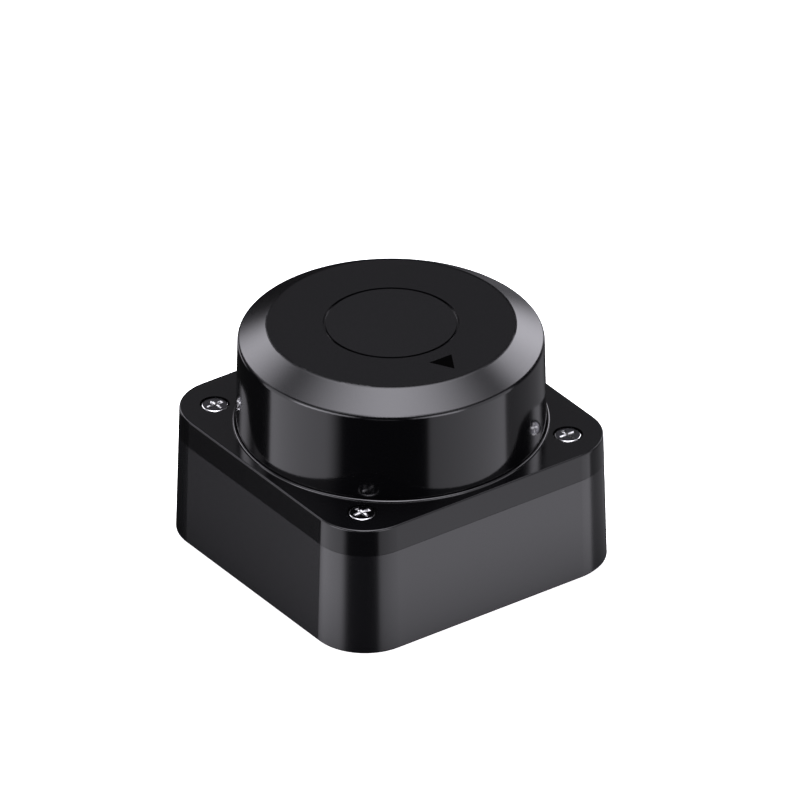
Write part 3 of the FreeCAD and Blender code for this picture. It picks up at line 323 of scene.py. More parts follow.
# ABS moulded in a spark-eroded tool: a black skin whose fine grain breaks reflections into a soft sheen
BASE_ABS = Finish("ABS moulded satin, base", "#0b0b0d", "#08080a", roughness=0.22, spread=0.015,
                  pitch_mm=0.35, depth_mm=0.0003, ior=1.7)
# ABS moulded in a smoother tool: nearly black, with clearer reflections than the base below it
LID_ABS = Finish("ABS moulded smooth, lid", "#080809", "#060607", roughness=0.155, spread=0.015,
                 pitch_mm=0.45, depth_mm=0.0002, ior=1.46)
# ABS polished where the tool was: on the narrow bead it draws a thin bright line round the head
BEAD_ABS = Finish("ABS moulded and polished, bead", "#080809", "#060607", roughness=0.1, spread=0.01,
                  pitch_mm=0.45, depth_mm=0.0001, ior=1.6)
# Infrared-pass polycarbonate: black to the eye, its wall polished like glass, its brow and roof satin
WINDOW_PC = WindowFinish("Infrared-pass polycarbonate, polished wall", "#050506", "#040405", roughness=0.12,
                         spread=0.01, pitch_mm=0.6, depth_mm=0.0003)
# Polycarbonate disc moulded matte: no reflection stands out on it
DISC_PC = Finish("Polycarbonate moulded matte, disc", "#09090a", "#070708", roughness=0.24, spread=0.02,
                 pitch_mm=0.3, depth_mm=0.0004)
# Carbon ink printed into the sunk mark: it swallows nearly all light, like soot
CARBON_INK = Finish("Carbon ink pad-printed matte", "#030303", "#020202", roughness=0.5, spread=0.05,
                    pitch_mm=0.3, depth_mm=0.0005, ior=1.03)
# Cold-headed steel under bright nickel: near mirror, with a faint unevenness from the heading die
NICKEL_STEEL = Finish("Steel cold-headed and nickel-plated", "#d2d2d2", "#c4c4c6", roughness=0.16,
                      spread=0.04, pitch_mm=0.25, depth_mm=0.0012, patch_mm=1.5, metallic=1.0)
# Cold-headed steel under black nickel: a dark mirror on the crown, and a painted highlight of bright metal on
# rim and recess below it
STEEL_WITH_PAINTED_HIGHLIGHT = PaintedHighlightFinish("Steel cold-headed, black-nickel-plated and worn", "#747478", "#68686c",
                        roughness=0.16, spread=0.04, pitch_mm=0.25, depth_mm=0.0012, patch_mm=1.5,
                        metallic=1.0)
# Silicone rubber moulded: soft dull black
SILICONE = Finish("Silicone rubber moulded", "#262626", "#1f1f1f", roughness=0.62, spread=0.05,
                  pitch_mm=0.3, depth_mm=0.002, ior=1.41)
# Brass turned: warm yellow with a fine, slightly uneven skin
BRASS = Finish("Brass turned", "#cdb173", "#bd9f60", roughness=0.28, spread=0.06,
               pitch_mm=0.2, depth_mm=0.002, patch_mm=2.0, metallic=1.0)
# Glass-epoxy laminate under green solder mask: semi-gloss, with the cloth's weave just showing through
LAMINATE = Finish("Glass-epoxy laminate, solder-masked", "#1d5a33", "#19502d", roughness=0.34, spread=0.05,
                  pitch_mm=0.5, depth_mm=0.003, pattern=Pattern.WEAVE, ior=1.55)
# Moulding resin of chip packages: fine matte grey-black
RESIN = Finish("Epoxy resin transfer-moulded", "#2a2a2c", "#232325", roughness=0.55, spread=0.05,
               pitch_mm=0.12, depth_mm=0.002, patch_mm=3.0)
# Natural nylon moulded: warm white, slightly translucent-looking, semi-matte
NYLON = Finish("Nylon moulded natural", "#e2dcca", "#d8d1bc", roughness=0.42, spread=0.04,
               pitch_mm=0.25, depth_mm=0.002, patch_mm=4.0, ior=1.53)
# Brass pins under matte tin: pale grey with a warm cast
TIN_BRASS = Finish("Brass drawn and tin-plated", "#d9d6cb", "#c9c5b6", roughness=0.3, spread=0.05,
                   pitch_mm=0.15, depth_mm=0.001, patch_mm=1.2, metallic=1.0)
# Aluminium turned: bright, with tool rings about the spin axis
ALUMINIUM = Finish("Aluminium turned", "#dadbdd", "#cfd0d2", roughness=0.3, spread=0.06,
                   pitch_mm=0.25, depth_mm=0.002, pattern=Pattern.LATHE, metallic=1.0)
# Bearing steel ground: smooth and bright with a faint ring texture
BEARING_STEEL = Finish("Bearing steel ground", "#c6c6c8", "#b9b9bb", roughness=0.2, spread=0.04,
                       pitch_mm=0.2, depth_mm=0.001, pattern=Pattern.LATHE, metallic=1.0)
# Electrical steel stacked: level lines of 0.35 mm sheets with dark varnish between
SHEET_STEEL = Finish("Electrical steel stamped and stacked", "#8a8a8e", "#77777b", roughness=0.42,
                     spread=0.08, pitch_mm=0.35, depth_mm=0.02, pattern=Pattern.SHEETS, metallic=1.0)
# Copper wire wound under clear enamel: orange-brown lines of 0.3 mm wire
COPPER = Finish("Copper wire enamelled and wound", "#cc8a5c", "#b8733f", roughness=0.26, spread=0.06,
                pitch_mm=0.3, depth_mm=0.05, pattern=Pattern.SHEETS, patch_mm=3.0, metallic=1.0)
# Drawn steel under satin nickel: grey with faint draw lines
BELL_STEEL = Finish("Steel drawn and nickel-plated", "#b4b4b6", "#a8a8aa", roughness=0.3, spread=0.05,
                    pitch_mm=0.3, depth_mm=0.0015, pattern=Pattern.LATHE, metallic=1.0)
# Ferrite pressed and coated: dark grey, dull
FERRITE = Finish("Ferrite pressed and coated", "#46464a", "#3b3b3f", roughness=0.5, spread=0.06,
                 pitch_mm=0.2, depth_mm=0.003, patch_mm=4.0)
# Glass-filled nylon moulded: black, matte, with a fibre grain
FILLED_NYLON = Finish("Glass-filled nylon moulded", "#252527", "#1d1d1f", roughness=0.52, spread=0.06,
                      pitch_mm=0.3, depth_mm=0.003, patch_mm=5.0)
# Optical glass polished: clear, with a clean mirror skin
GLASS = Finish("Optical glass polished", "#f2f6f7", "#eef4f5", roughness=0.02, spread=0.005,
               pitch_mm=1.0, depth_mm=0.00005, ior=1.52, transmission=1.0)
# Aluminium anodised black: deep grey, satin
BLACK_ALUMINIUM = Finish("Aluminium turned and anodised black", "#2c2c2e", "#252527", roughness=0.34,
                         spread=0.04, pitch_mm=0.2, depth_mm=0.001, pattern=Pattern.LATHE, metallic=1.0)
# Matt white card of the floor: even and pale, with a paper grain too faint to draw the eye
CARD = Finish("Card matt white", "#f0f0f0", "#ececec", roughness=0.9, spread=0.02,
              pitch_mm=3.0, depth_mm=0.01, patch_mm=300.0)


def dress_nodes(finishes: dict[str, Finish]) -> None:
    """Give carried-over nodes their finish.

    Args:
        finishes: The finish of each node.
    """
    for name, finish in finishes.items():
        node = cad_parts[name]
        if not node.material_slots:
            node.data.materials.append(None)
        for slot in node.material_slots:
            slot.material = finish.material()
        log.info("%s: %s", name, finish.name)


def make_object(name: str, shape: Shape, material: bpy.types.Material) -> bpy.types.Object:
    """Make an object of a mesh.

    Args:
        name: The object's name.
        shape: Its mesh, in metres; freed here.
        material: Its material.

    Returns:
        The new object, in the scene.
    """
    mesh = bpy.data.meshes.new(name)
    shape.to_mesh(mesh)
    shape.free()
    mesh.materials.append(material)
    made = bpy.data.objects.new(name, mesh)
    bpy.context.scene.collection.objects.link(made)
    return made


def new_piece(name: str, shape: Shape, finish: Finish, body: str) -> bpy.types.Object:
    """Make a finished piece of a mesh that stands in its place.

    Args:
        name: The piece's name.
        shape: Its mesh, in metres; freed here.
        finish: Its finish.
        body: The body that it rides on.

    Returns:
        The new object.
    """
    bmesh.ops.remove_doubles(shape, verts=shape.verts, dist=MERGE_MM * MM)
    bmesh.ops.recalc_face_normals(shape, faces=shape.faces)
    piece = make_object(name, shape, finish.material())
    piece.data.shade_smooth()
    piece.data.set_sharp_from_angle(angle=math.radians(SHARP_DEG))
    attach(piece, body)
    log.info("%s: %s", name, finish.name)
    return piece


def revolve(shape: Shape, section: list[tuple[float, float]], segments: int,
            closed: bool = False, turns: int = 1, rise: float = 0.0) -> None:
    """Turn a section about the upright axis, once round or up a helix.

    Args:
        shape: The mesh that takes the surface, in millimetres.
        section: Radius and height of each point.
        segments: Steps in one turn.
        closed: Whether the last point is joined to the first.
        turns: How many turns the section makes.
        rise: How far it climbs in one turn; 0 closes the surface on itself.
    """
    spots = [shape.verts.new((radius, 0.0, height)) for radius, height in section]
    after = spots[1:] + spots[:1] if closed else spots[1:]
    line = [shape.edges.new(pair) for pair in zip(spots, after)]
    bmesh.ops.spin(shape, geom=spots + line, cent=(0, 0, 0), axis=(0, 0, 1), dvec=(0, 0, rise / segments),
                   angle=2 * math.pi * turns, steps=segments * turns, use_merge=not rise)
    bmesh.ops.remove_doubles(shape, verts=shape.verts, dist=MERGE_MM)


def gather(whole: Shape, part: Shape, put: Matrix) -> None:
    """Put a mesh in its place and add it to a larger one.

    Args:
        whole: The larger mesh.
        part: The mesh to add; freed here.
        put: Where it goes.
    """
    bmesh.ops.transform(part, matrix=put, verts=part.verts)
    carrier = bpy.data.meshes.new("carrier")
    part.to_mesh(carrier)
    part.free()
    whole.from_mesh(carrier)
    bpy.data.meshes.remove(carrier)


@dataclass
class LidScrews:
    """The four low-domed screws that hold the lid, with tapered cross recesses.

    Attributes:
        place_mm: Distance of each axis from the two middle planes.
        seat_mm: Height of the heads' seats.
        head_r_mm: Radius of a head.
        edge_mm: Height of a head's straight side.
        head_mm: Height of a head.
        break_mm: Break of a head's lower edge.
        round_mm: Rounding between a head's side and its dome.
        sweep_deg: How far the rounding turns before the dome begins.
        shank_r_mm: Radius of a shank.
        shank_mm: Length of a shank.
        tip_r_mm: Radius of a shank's end.
        tip_mm: Length of the taper at a shank's end.
        arm_mm: Reach of a recess's arm.
        web_mm: Half width of an arm.
        ramp_mm: Depth to which the flanks of a recess slope gently.
        depth_mm: Depth of a recess.
        ramp_web: Width of an arm at the foot of the ramp, against its mouth.
        ramp_arm: Reach of an arm at the foot of the ramp, against its mouth.
        taper: Size of a recess's floor against the foot of the ramp.
        turns_deg: How far each screw was driven round, from the front left corner on.
        arc_steps: Steps along the rounding, and along the dome.
        segments: Steps round an axis.
    """

    place_mm: float = 20.5
    seat_mm: float = 22.0
    head_r_mm: float = 2.2
    edge_mm: float = 0.675
    head_mm: float = 1.0
    break_mm: float = 0.06
    round_mm: float = 0.3
    sweep_deg: float = 80.0
    shank_r_mm: float = 1.0
    shank_mm: float = 11.8
    tip_r_mm: float = 0.7
    tip_mm: float = 0.6
    arm_mm: float = 1.5
    web_mm: float = 0.4
    ramp_mm: float = 0.18
    depth_mm: float = 0.55
    ramp_web: float = 0.3
    ramp_arm: float = 0.85
    taper: float = 0.7
    turns_deg: tuple[float, ...] = (0.0, 4.0, 35.0, 0.0)
    arc_steps: int = 8
    segments: int = 64

    def section(self) -> list[tuple[float, float]]:
        """Give the half section of a screw about its axis, seat at height 0.

        Returns:
            Radius and height of each point, in millimetres.
        """
        rim = self.head_r_mm - self.round_mm
        points = [(0.0, -self.shank_mm), (self.tip_r_mm, -self.shank_mm),
                  (self.shank_r_mm, self.tip_mm - self.shank_mm), (self.shank_r_mm, 0.0),
                  (self.head_r_mm - self.break_mm, 0.0), (self.head_r_mm, self.break_mm)]
        for step in range(self.arc_steps + 1):
            angle = math.radians(self.sweep_deg * step / self.arc_steps)
            points.append((rim + self.round_mm * math.cos(angle),
                           self.edge_mm + self.round_mm * math.sin(angle)))
        start_r, start_z = points[-1]
        rise = self.head_mm - start_z
        for step in range(1, self.arc_steps + 1):
            share = 1 - step / self.arc_steps
            points.append((start_r * share, self.head_mm - rise * share * share))
        return points

    def one(self) -> Shape:
        """Model one screw on the upright axis, seat at height 0.

        Returns:
            Its mesh, in millimetres.
        """
        shape = bmesh.new()
        revolve(shape, self.section(), self.segments)
        dome = self.edge_mm + self.round_mm / 2
        for axis in (Vector((1, 0, 0)), Vector((0, 1, 0))):
            for reach in (-self.arm_mm, -self.web_mm, self.web_mm, self.arm_mm):
                top = [face for face in shape.faces if face.calc_center_median().z > dome]
                edges = {edge for face in top for edge in face.edges}
                verts = {vert for face in top for vert in face.verts}
                bmesh.ops.bisect_plane(shape, geom=[*top, *edges, *verts], dist=CUT_MM,
                                       plane_co=axis * reach, plane_no=axis)
        mouth = [face for face in shape.faces if self.in_cross(face.calc_center_median(), dome)]
        sill, sill_verts = self.sink(shape, mouth)
        for vert in sill_verts:
            x, y, _ = vert.co
            vert.co = self.drawn_in(x), self.drawn_in(y), self.head_mm - self.ramp_mm
        for vert in self.sink(shape, sill)[1]:
            x, y, _ = vert.co
            vert.co = x * self.taper, y * self.taper, self.head_mm - self.depth_mm
        return shape

    def sink(self, shape: Shape, faces: list[Face]) -> tuple[list[Face], list[Vert]]:
        """Extrude a patch of faces and take the old patch away.

        Args:
            shape: The mesh.
            faces: The patch.

        Returns:
            The new patch's faces and vertices, still where the old ones were.
        """
        grown = bmesh.ops.extrude_face_region(shape, geom=faces)["geom"]
        bmesh.ops.delete(shape, geom=faces, context="FACES")
        patch = [item for item in grown if isinstance(item, Face)]
        return patch, [item for item in grown if isinstance(item, Vert)]

    def drawn_in(self, reach: float) -> float:
        """Draw a spot of the mouth in to the foot of the ramp.

        Args:
            reach: The spot's distance from the axis along one arm, in millimetres.

        Returns:
            Its distance at the foot of the ramp.
        """
        web = min(abs(reach), self.web_mm) * self.ramp_web
        share = max(abs(reach) - self.web_mm, 0.0) / (self.arm_mm - self.web_mm)
        end = self.arm_mm * self.ramp_arm - self.web_mm * self.ramp_web
        return math.copysign(web + share * end, reach)

    def in_cross(self, spot: Vector, dome: float) -> bool:
        """Tell whether a spot of the head lies in the recess's mouth, above the height of the dome's foot."""
        across, along = sorted((abs(spot.x), abs(spot.y)))
        return spot.z > dome and along < self.arm_mm and across < self.web_mm

    def build(self) -> None:
        """Model the four screws and let them stand for the plain ones."""
        whole = bmesh.new()
        for (side_x, side_y), turn in zip(CORNERS, self.turns_deg):
            spot = Vector((side_x * self.place_mm, side_y * self.place_mm, self.seat_mm))
            put = Matrix.Scale(MM, 4) @ Matrix.Translation(spot) @ Matrix.Rotation(math.radians(turn), 4, "Z")
            gather(whole, self.one(), put)
        piece = new_piece("cover_screws", whole, STEEL_WITH_PAINTED_HIGHLIGHT, "base")
        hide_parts("lid_screws")


@dataclass
class OpeningBead:
    """The raised bead on the lid round the head.

    Attributes:
        opening_mm: Radius of the lid's opening, where the section's centre lies.
        overhang_mm: How far the bead's inner side stands in over the opening's edge.
        tube_mm: Radius of the section.
        level_mm: Height of the section's centre.
        lid_mm: Height of the lid's top.
        root_mm: How deep the bead is rooted in the lid.
        arc_steps: Steps along the section's rounding.
        segments: Steps round the axis.
    """

    opening_mm: float = 25.448
    overhang_mm: float = 0.07
    tube_mm: float = 0.31
    level_mm: float = 23.0
    lid_mm: float = 23.05
    root_mm: float = 0.2
    arc_steps: int = 16
    segments: int = 288

    def build(self) -> None:
        """Model the bead on top of the lid."""
        first = math.acos(-self.overhang_mm / self.tube_mm)
        last = math.asin((self.lid_mm - self.level_mm) / self.tube_mm)
        section = []
        for step in range(self.arc_steps + 1):
            angle = first + (last - first) * step / self.arc_steps
            section.append((self.opening_mm + self.tube_mm * math.cos(angle),
                            self.level_mm + self.tube_mm * math.sin(angle)))
        root = self.lid_mm - self.root_mm
        section += [(section[-1][0], root), (section[0][0], root)]
        shape = bmesh.new()
        revolve(shape, section, self.segments, closed=True)
        bmesh.ops.transform(shape, matrix=Matrix.Scale(MM, 4), verts=shape.verts)
        new_piece("opening_bead", shape, BEAD_ABS, "base")


@dataclass
class ThreadedInserts:
    """The four flanged brass inserts in the underside, threaded inside and fluted outside.

    Attributes:
        place_mm: Distance of each axis from the two middle planes.
        foot_mm: Height of the flange's underside.
        length_mm: Length of an insert.
        flange_r_mm: Radius of the flange.
        flange_mm: Thickness of the flange.
        body_r_mm: Radius over the flutes.
        major_r_mm: Radius of the thread's roots.
        minor_r_mm: Radius of the thread's crests.
        pitch_mm: Rise of the thread in one turn.
        flat: Share of the pitch that a crest or a root takes.
        turns_below: Turns of the thread below the foot, cut off again.
        turns_above: Turns of the thread above the upper end, cut off again.
        flute_mm: Depth of the flutes.
        flute_edge_mm: Slope at the edge of a flute.
        segments: Steps round an axis.
    """

    place_mm: float = 20.5
    foot_mm: float = 0.2
    length_mm: float = 4.0
    flange_r_mm: float = 2.5
    flange_mm: float = 0.6
    body_r_mm: float = 2.0
    major_r_mm: float = 1.5
    minor_r_mm: float = 1.25
    pitch_mm: float = 0.5
    flat: float = 0.15
    turns_below: int = 2
    turns_above: int = 1
    flute_mm: float = 0.12
    flute_edge_mm: float = 0.05
    segments: int = 48

    def one(self) -> Shape:
        """Model one insert on the upright axis, at its height.

        Returns:
            Its mesh, in millimetres.
        """
        shape = bmesh.new()
        top = self.foot_mm + self.length_mm
        shoulder = self.foot_mm + self.flange_mm
        self.cut_thread(shape, top)
        revolve(shape, [(self.flange_r_mm, self.foot_mm), (self.flange_r_mm, shoulder),
                        (self.body_r_mm, shoulder), (self.body_r_mm, top)], self.segments)
        for level in (self.foot_mm, top):
            rims = [edge for edge in shape.edges if edge.is_boundary
                    and all(abs(vert.co.z - level) < MERGE_MM for vert in edge.verts)]
            bmesh.ops.bridge_loops(shape, edges=rims)
        bmesh.ops.recalc_face_normals(shape, faces=shape.faces)
        middle = (shoulder + top) / 2
        wall = [face for face in shape.faces if abs(face.calc_center_median().z - middle) < MERGE_MM
                and face.calc_center_median().xy.length > self.major_r_mm + self.flute_mm]
        wall.sort(key=lambda face: math.atan2(face.calc_center_median().y, face.calc_center_median().x))
        bmesh.ops.inset_individual(shape, faces=wall[::2], thickness=self.flute_edge_mm, depth=-self.flute_mm)
        return shape

    def cut_thread(self, shape: Shape, top: float) -> None:
        """Wind the thread's section up the bore and trim it level at both ends.

        Args:
            shape: The mesh that takes the thread.
            top: Height of the insert's upper end, in millimetres.
        """
        start = self.foot_mm - self.turns_below * self.pitch_mm
        turns = self.turns_below + round(self.length_mm / self.pitch_mm) + self.turns_above
        tooth = ((self.major_r_mm, 0.0), (self.major_r_mm, self.flat), (self.minor_r_mm, 0.5),
                 (self.minor_r_mm, 0.5 + self.flat), (self.major_r_mm, 1.0))
        section = [(radius, start + share * self.pitch_mm) for radius, share in tooth]
        revolve(shape, section, self.segments, turns=turns, rise=self.pitch_mm)
        for level, out in ((self.foot_mm, -1), (top, 1)):
            bmesh.ops.bisect_plane(shape, geom=[*shape.verts, *shape.edges, *shape.faces], dist=CUT_MM,
                                   plane_co=(0, 0, level), plane_no=(0, 0, out), clear_outer=True)

    def build(self) -> None:
        """Model the four inserts and let them stand for the plain ones."""
        whole = bmesh.new()
        for side_x, side_y in CORNERS:
            spot = Vector((side_x * self.place_mm, side_y * self.place_mm, 0.0))
            gather(whole, self.one(), Matrix.Scale(MM, 4) @ Matrix.Translation(spot))
        piece = new_piece("threaded_inserts", whole, BRASS, "base")
        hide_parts("mounting_inserts")


@dataclass
class Housing:
    """Base, lid, gasket and inserts.

    Attributes:
        screws: The screws of the lid.
        bead: The bead round the lid's opening.
        inserts: The inserts in the underside.
    """

    screws: LidScrews
    bead: OpeningBead
    inserts: ThreadedInserts

    def build(self) -> None:
        """Model the screws, the bead and the inserts; the other pieces keep their solid form."""
        for piece in (self.screws, self.bead, self.inserts):
            piece.build()

    def dress(self) -> None:
        """Give the base, the lid and what lies between them their finishes."""
        dress_nodes({
            "base_housing": BASE_ABS,
            "top_cover": LID_ABS,
            "lid_gasket": SILICONE,
            "lid_screws": STEEL_WITH_PAINTED_HIGHLIGHT,
            "mounting_inserts": BRASS,
        })


@dataclass
class Head:
    """The fixed window, the disc in its roof and the inked mark that shows the front.

    Attributes:
        mark_back_mm: Where the mark's straight side lies, in front of the middle.
        mark_tip_mm: Where its tip lies.
        mark_half_mm: Half the length of its straight side.
        mark_floor_mm: Height of the floor that the ink lies on.
        ink_mm: Thickness of the ink.
        ink_gap_mm: How far the ink keeps from the walls round it.
    """

    mark_back_mm: float = 13.6
    mark_tip_mm: float = 17.5
    mark_half_mm: float = 2.2
    mark_floor_mm: float = 40.95
    ink_mm: float = 0.32
    ink_gap_mm: float = 0.03

    def build(self) -> None:
        """Lay the ink in the sunk mark."""
        shape = bmesh.new()
        outline = ((-self.mark_half_mm, -self.mark_back_mm), (0.0, -self.mark_tip_mm),
                   (self.mark_half_mm, -self.mark_back_mm))
        face = shape.faces.new([shape.verts.new((x, y, self.mark_floor_mm)) for x, y in outline])
        bmesh.ops.inset_region(shape, faces=[face], thickness=self.ink_gap_mm)
        bmesh.ops.delete(shape, geom=[side for side in shape.faces if side is not face], context="FACES")
        raised = bmesh.ops.extrude_face_region(shape, geom=[face], use_keep_orig=True)
        lifted = [item for item in raised["geom"] if isinstance(item, Vert)]
        bmesh.ops.translate(shape, verts=lifted, vec=(0, 0, self.ink_mm))
        bmesh.ops.transform(shape, matrix=Matrix.Scale(MM, 4), verts=shape.verts)
        mark = new_piece("front_mark", shape, CARBON_INK, "base")

    def dress(self) -> None:
        """Give the window and the disc their finishes."""
        dress_nodes({"window_dome": WINDOW_PC, "top_disc": DISC_PC})


@dataclass
class BaseElectronics:
    """Main board, its chips, the connector and the fixed halves of the supply and the data link."""

    def dress(self) -> None:
        """Give the boards, chips and connector their finishes."""
        dress_nodes({
            "main_board": LAMINATE,
            "board_screws": NICKEL_STEEL,
            "processor_chip": RESIN,
            "driver_chips": RESIN,
            "interface_connector": NYLON,
            "connector_pins": TIN_BRASS,
            "coil_carrier": FILLED_NYLON,
            "power_coil": COPPER,
            "encoder_sensor": RESIN,
            "link_receiver": RESIN,
        })


@dataclass
class Motor:
    """The brushless motor: fixed core and bearings, spinning bell, magnet and shaft."""

    def dress(self) -> None:
        """Give the motor's pieces their finishes."""
        dress_nodes({
            "motor_mount": ALUMINIUM,
            "motor_screws": NICKEL_STEEL,
            "lower_bearing": BEARING_STEEL,
            "upper_bearing": BEARING_STEEL,
            "stator_core": SHEET_STEEL,
            "stator_windings": COPPER,
            "motor_shaft": BEARING_STEEL,
            "retaining_clip": BEARING_STEEL,
            "rotor_bell": BELL_STEEL,
            "rotor_magnet": FERRITE,
        })


@dataclass
class Scanner:
    """The spinning deck with its boards, lens barrels and balance weight."""

    def dress(self) -> None:
        """Give the scanner's pieces their finishes."""
        dress_nodes({
            "scanner_deck": ALUMINIUM,
            "deck_screws": NICKEL_STEEL,
            "encoder_ring": FILLED_NYLON,
            "pickup_coil": COPPER,
            "rotor_board": LAMINATE,
            "link_emitter": RESIN,
            "ranging_chip": RESIN,
            "lens_holder": FILLED_NYLON,
            "holder_screws": NICKEL_STEEL,
            "receive_lens": GLASS,
            "receive_lens_ring": BLACK_ALUMINIUM,
            "transmit_lens": GLASS,
            "transmit_lens_ring": BLACK_ALUMINIUM,
            "receiver_board": LAMINATE,
            "receiver_sensor": RESIN,
            "laser_board": LAMINATE,
            "laser_diode": BEARING_STEEL,
            "sensor_board_screws": NICKEL_STEEL,
            "balance_weight": BRASS,
        })


class Stand(Enum):
    """How a soft box hangs."""

    UPRIGHT = "upright, facing the object"
    FLAT = "level, over the object"


@dataclass(frozen=True)
class SoftBox:
    """A lit panel with soft edges.

    Attributes:
        name: The light's name.
        bearing: Middle of the panel, in degrees to the right of the camera as the image shows it.
        span: Width of the panel in degrees.
        low: Elevation of its lower edge in degrees, or its half angle where it hangs level.
        high: Elevation of its upper edge in degrees.
        radiance: How bright the panel's middle looks, where white paper in the scene is about 1.
        stand: How it hangs.
        reach: Distance from the object, in metres.
        lean: How much brighter the right edge, of the larger bearing, is than the middle, as a share.
        roll: How far the panel is turned about its own middle, in degrees.
        fades: Share of the panel over which its left, right, lower and upper edges fade out.
    """

    name: str
    bearing: float
    span: float
    low: float
    high: float
    radiance: float
    stand: Stand = Stand.UPRIGHT
    reach: float = 1.0
    lean: float = 0.0
    roll: float = 0.0
    fades: tuple[float, float, float, float] = (0.3, 0.3, 0.3, 0.3)

    def soften(self, lamp: bpy.types.AreaLight) -> None:
        """Fade the panel out towards its edges.

        Args:
            lamp: The panel's light.
        """
        lamp.use_nodes = True
        tree = lamp.node_tree
        tree.nodes.clear()
        spot = add_node(tree, "ShaderNodeNewGeometry", {}).outputs["Parametric"]
        across = add_node(tree, "ShaderNodeSeparateXYZ", {"Vector": spot}).outputs
        left, right, lower, upper = self.fades
        slope = {"Value": across["X"], "To Min": 1 - self.lean, "To Max": 1 + self.lean}
        strength = add_node(tree, "ShaderNodeMapRange", slope).outputs["Result"]
        edges = (("X", 0.0, left), ("X", 1.0, 1 - right), ("Y", 0.0, lower), ("Y", 1.0, 1 - upper))
        for axis, edge, full in edges:
            fade = add_node(tree, "ShaderNodeMapRange", {
                "Value": across[axis], "From Min": edge, "From Max": full}, interpolation_type="SMOOTHSTEP")
            strength = add_node(tree, "ShaderNodeMath", {0: strength, 1: fade.outputs["Result"]},
                                operation="MULTIPLY").outputs["Value"]
        glow = add_node(tree, "ShaderNodeEmission", {"Strength": strength})
        add_node(tree, "ShaderNodeOutputLight", {"Surface": glow.outputs["Emission"]})

    def hang(self, facing: Vector, right: Vector) -> None:
        """Put the light up.

        Args:
            facing: Level direction from the object to the camera.
            right: Level direction to the right in the image.
        """
        lamp = bpy.data.lights.new(self.name, "AREA")
        lamp.shape = "RECTANGLE"
        lamp.color = to_linear(DAYLIGHT)[:3]
        up = Vector((0, 0, 1))
        if self.stand is Stand.FLAT:
            lamp.size = lamp.size_y = 2 * self.reach * math.tan(math.radians(self.low))
            place = up * self.reach
            turn = Matrix((right, -facing, up)).transposed()
        else:
            floor, roof = (self.reach * math.tan(math.radians(edge)) for edge in (self.low, self.high))
            angle = math.radians(self.bearing)
            out = facing * math.cos(angle) + right * math.sin(angle)
            place = out * self.reach + up * ((floor + roof) / 2)
            lamp.size = 2 * self.reach * math.tan(math.radians(self.span / 2))
            lamp.size_y = roof - floor
            turn = Matrix((up.cross(out), up, out)).transposed()
        lamp.energy = self.radiance * math.pi * lamp.size * lamp.size_y
        self.soften(lamp)
        light = bpy.data.objects.new(self.name, lamp)
        rolled = Matrix.Rotation(math.radians(self.roll), 4, "Z")
        light.matrix_world = Matrix.Translation(place) @ turn.to_4x4() @ rolled
        light.visible_camera = False
        bpy.context.scene.collection.objects.link(light)


SOFT_BOXES = (
    # The faces of the base and the wall of the head show these
    SoftBox("left_panel", bearing=-68.0, span=67.0, low=-60.0, high=40.0, radiance=1.52, lean=-0.1,
            fades=(0.04, 0.26, 0.1, 0.1)),
    SoftBox("right_panel", bearing=60.5, span=69.0, low=-60.0, high=40.0, radiance=1.2, lean=0.3,
            fades=(0.06, 0.05, 0.1, 0.1)),
    SoftBox("right_wing_panel", bearing=132.0, span=76.0, low=-60.0, high=4.0, radiance=0.24,
            fades=(0.02, 0.32, 0.1, 0.1)),
    # The front of the brow and the screws show these
    SoftBox("overhead_panel", bearing=0.0, span=0.0, low=40.0, high=40.0, radiance=7.4, stand=Stand.FLAT,
            fades=(0.5, 0.5, 0.5, 0.5)),
    SoftBox("front_panel", bearing=0.0, span=60.0, low=45.0, high=72.0, radiance=6.0),
    # These draw the bright line along the brow's lower edge
    SoftBox("left_brow_panel", bearing=-48.0, span=56.0, low=-14.0, high=22.0, radiance=4.4, lean=-0.25,
            fades=(0.25, 0.25, 0.3, 0.3)),
    SoftBox("right_brow_panel", bearing=33.0, span=44.0, low=-14.0, high=22.0, radiance=3.6, lean=0.2,
            fades=(0.35, 0.25, 0.3, 0.3)),
    # The sides of the brow show these as it curves round to the back
    SoftBox("left_edge_panel", bearing=-114.0, span=18.0, low=18.0, high=47.0, radiance=1.8),
    SoftBox("left_rim_panel", bearing=-134.5, span=26.0, low=2.0, high=55.0, radiance=5.8, roll=-32.7,
            fades=(0.35, 0.35, 0.35, 0.6)),
    SoftBox("right_rim_panel", bearing=139.0, span=20.0, low=-18.0, high=55.0, radiance=6.5, roll=32.7,
            fades=(0.35, 0.35, 0.46, 0.35)),
    # The roof, the disc and the lid's top show this one
    SoftBox("back_panel", bearing=180.0, span=50.0, low=22.0, high=43.0, radiance=0.2, reach=1.3,
            fades=(0.2, 0.2, 0.2, 0.2)),
    # These fill the faces that only other views show
    SoftBox("rear_fill_panel", bearing=-140.0, span=40.0, low=-21.0, high=0.0, radiance=1.3,
            fades=(0.3, 0.3, 0.35, 0.3)),
    SoftBox("rear_right_fill_panel", bearing=170.0, span=20.0, low=-20.0, high=0.0, radiance=0.25,
            fades=(0.3, 0.3, 0.35, 0.3)),
    SoftBox("front_fill_panel", bearing=-6.0, span=30.0, low=-17.0, high=-2.0, radiance=0.6,
            fades=(0.3, 0.3, 0.4, 0.3)),
)


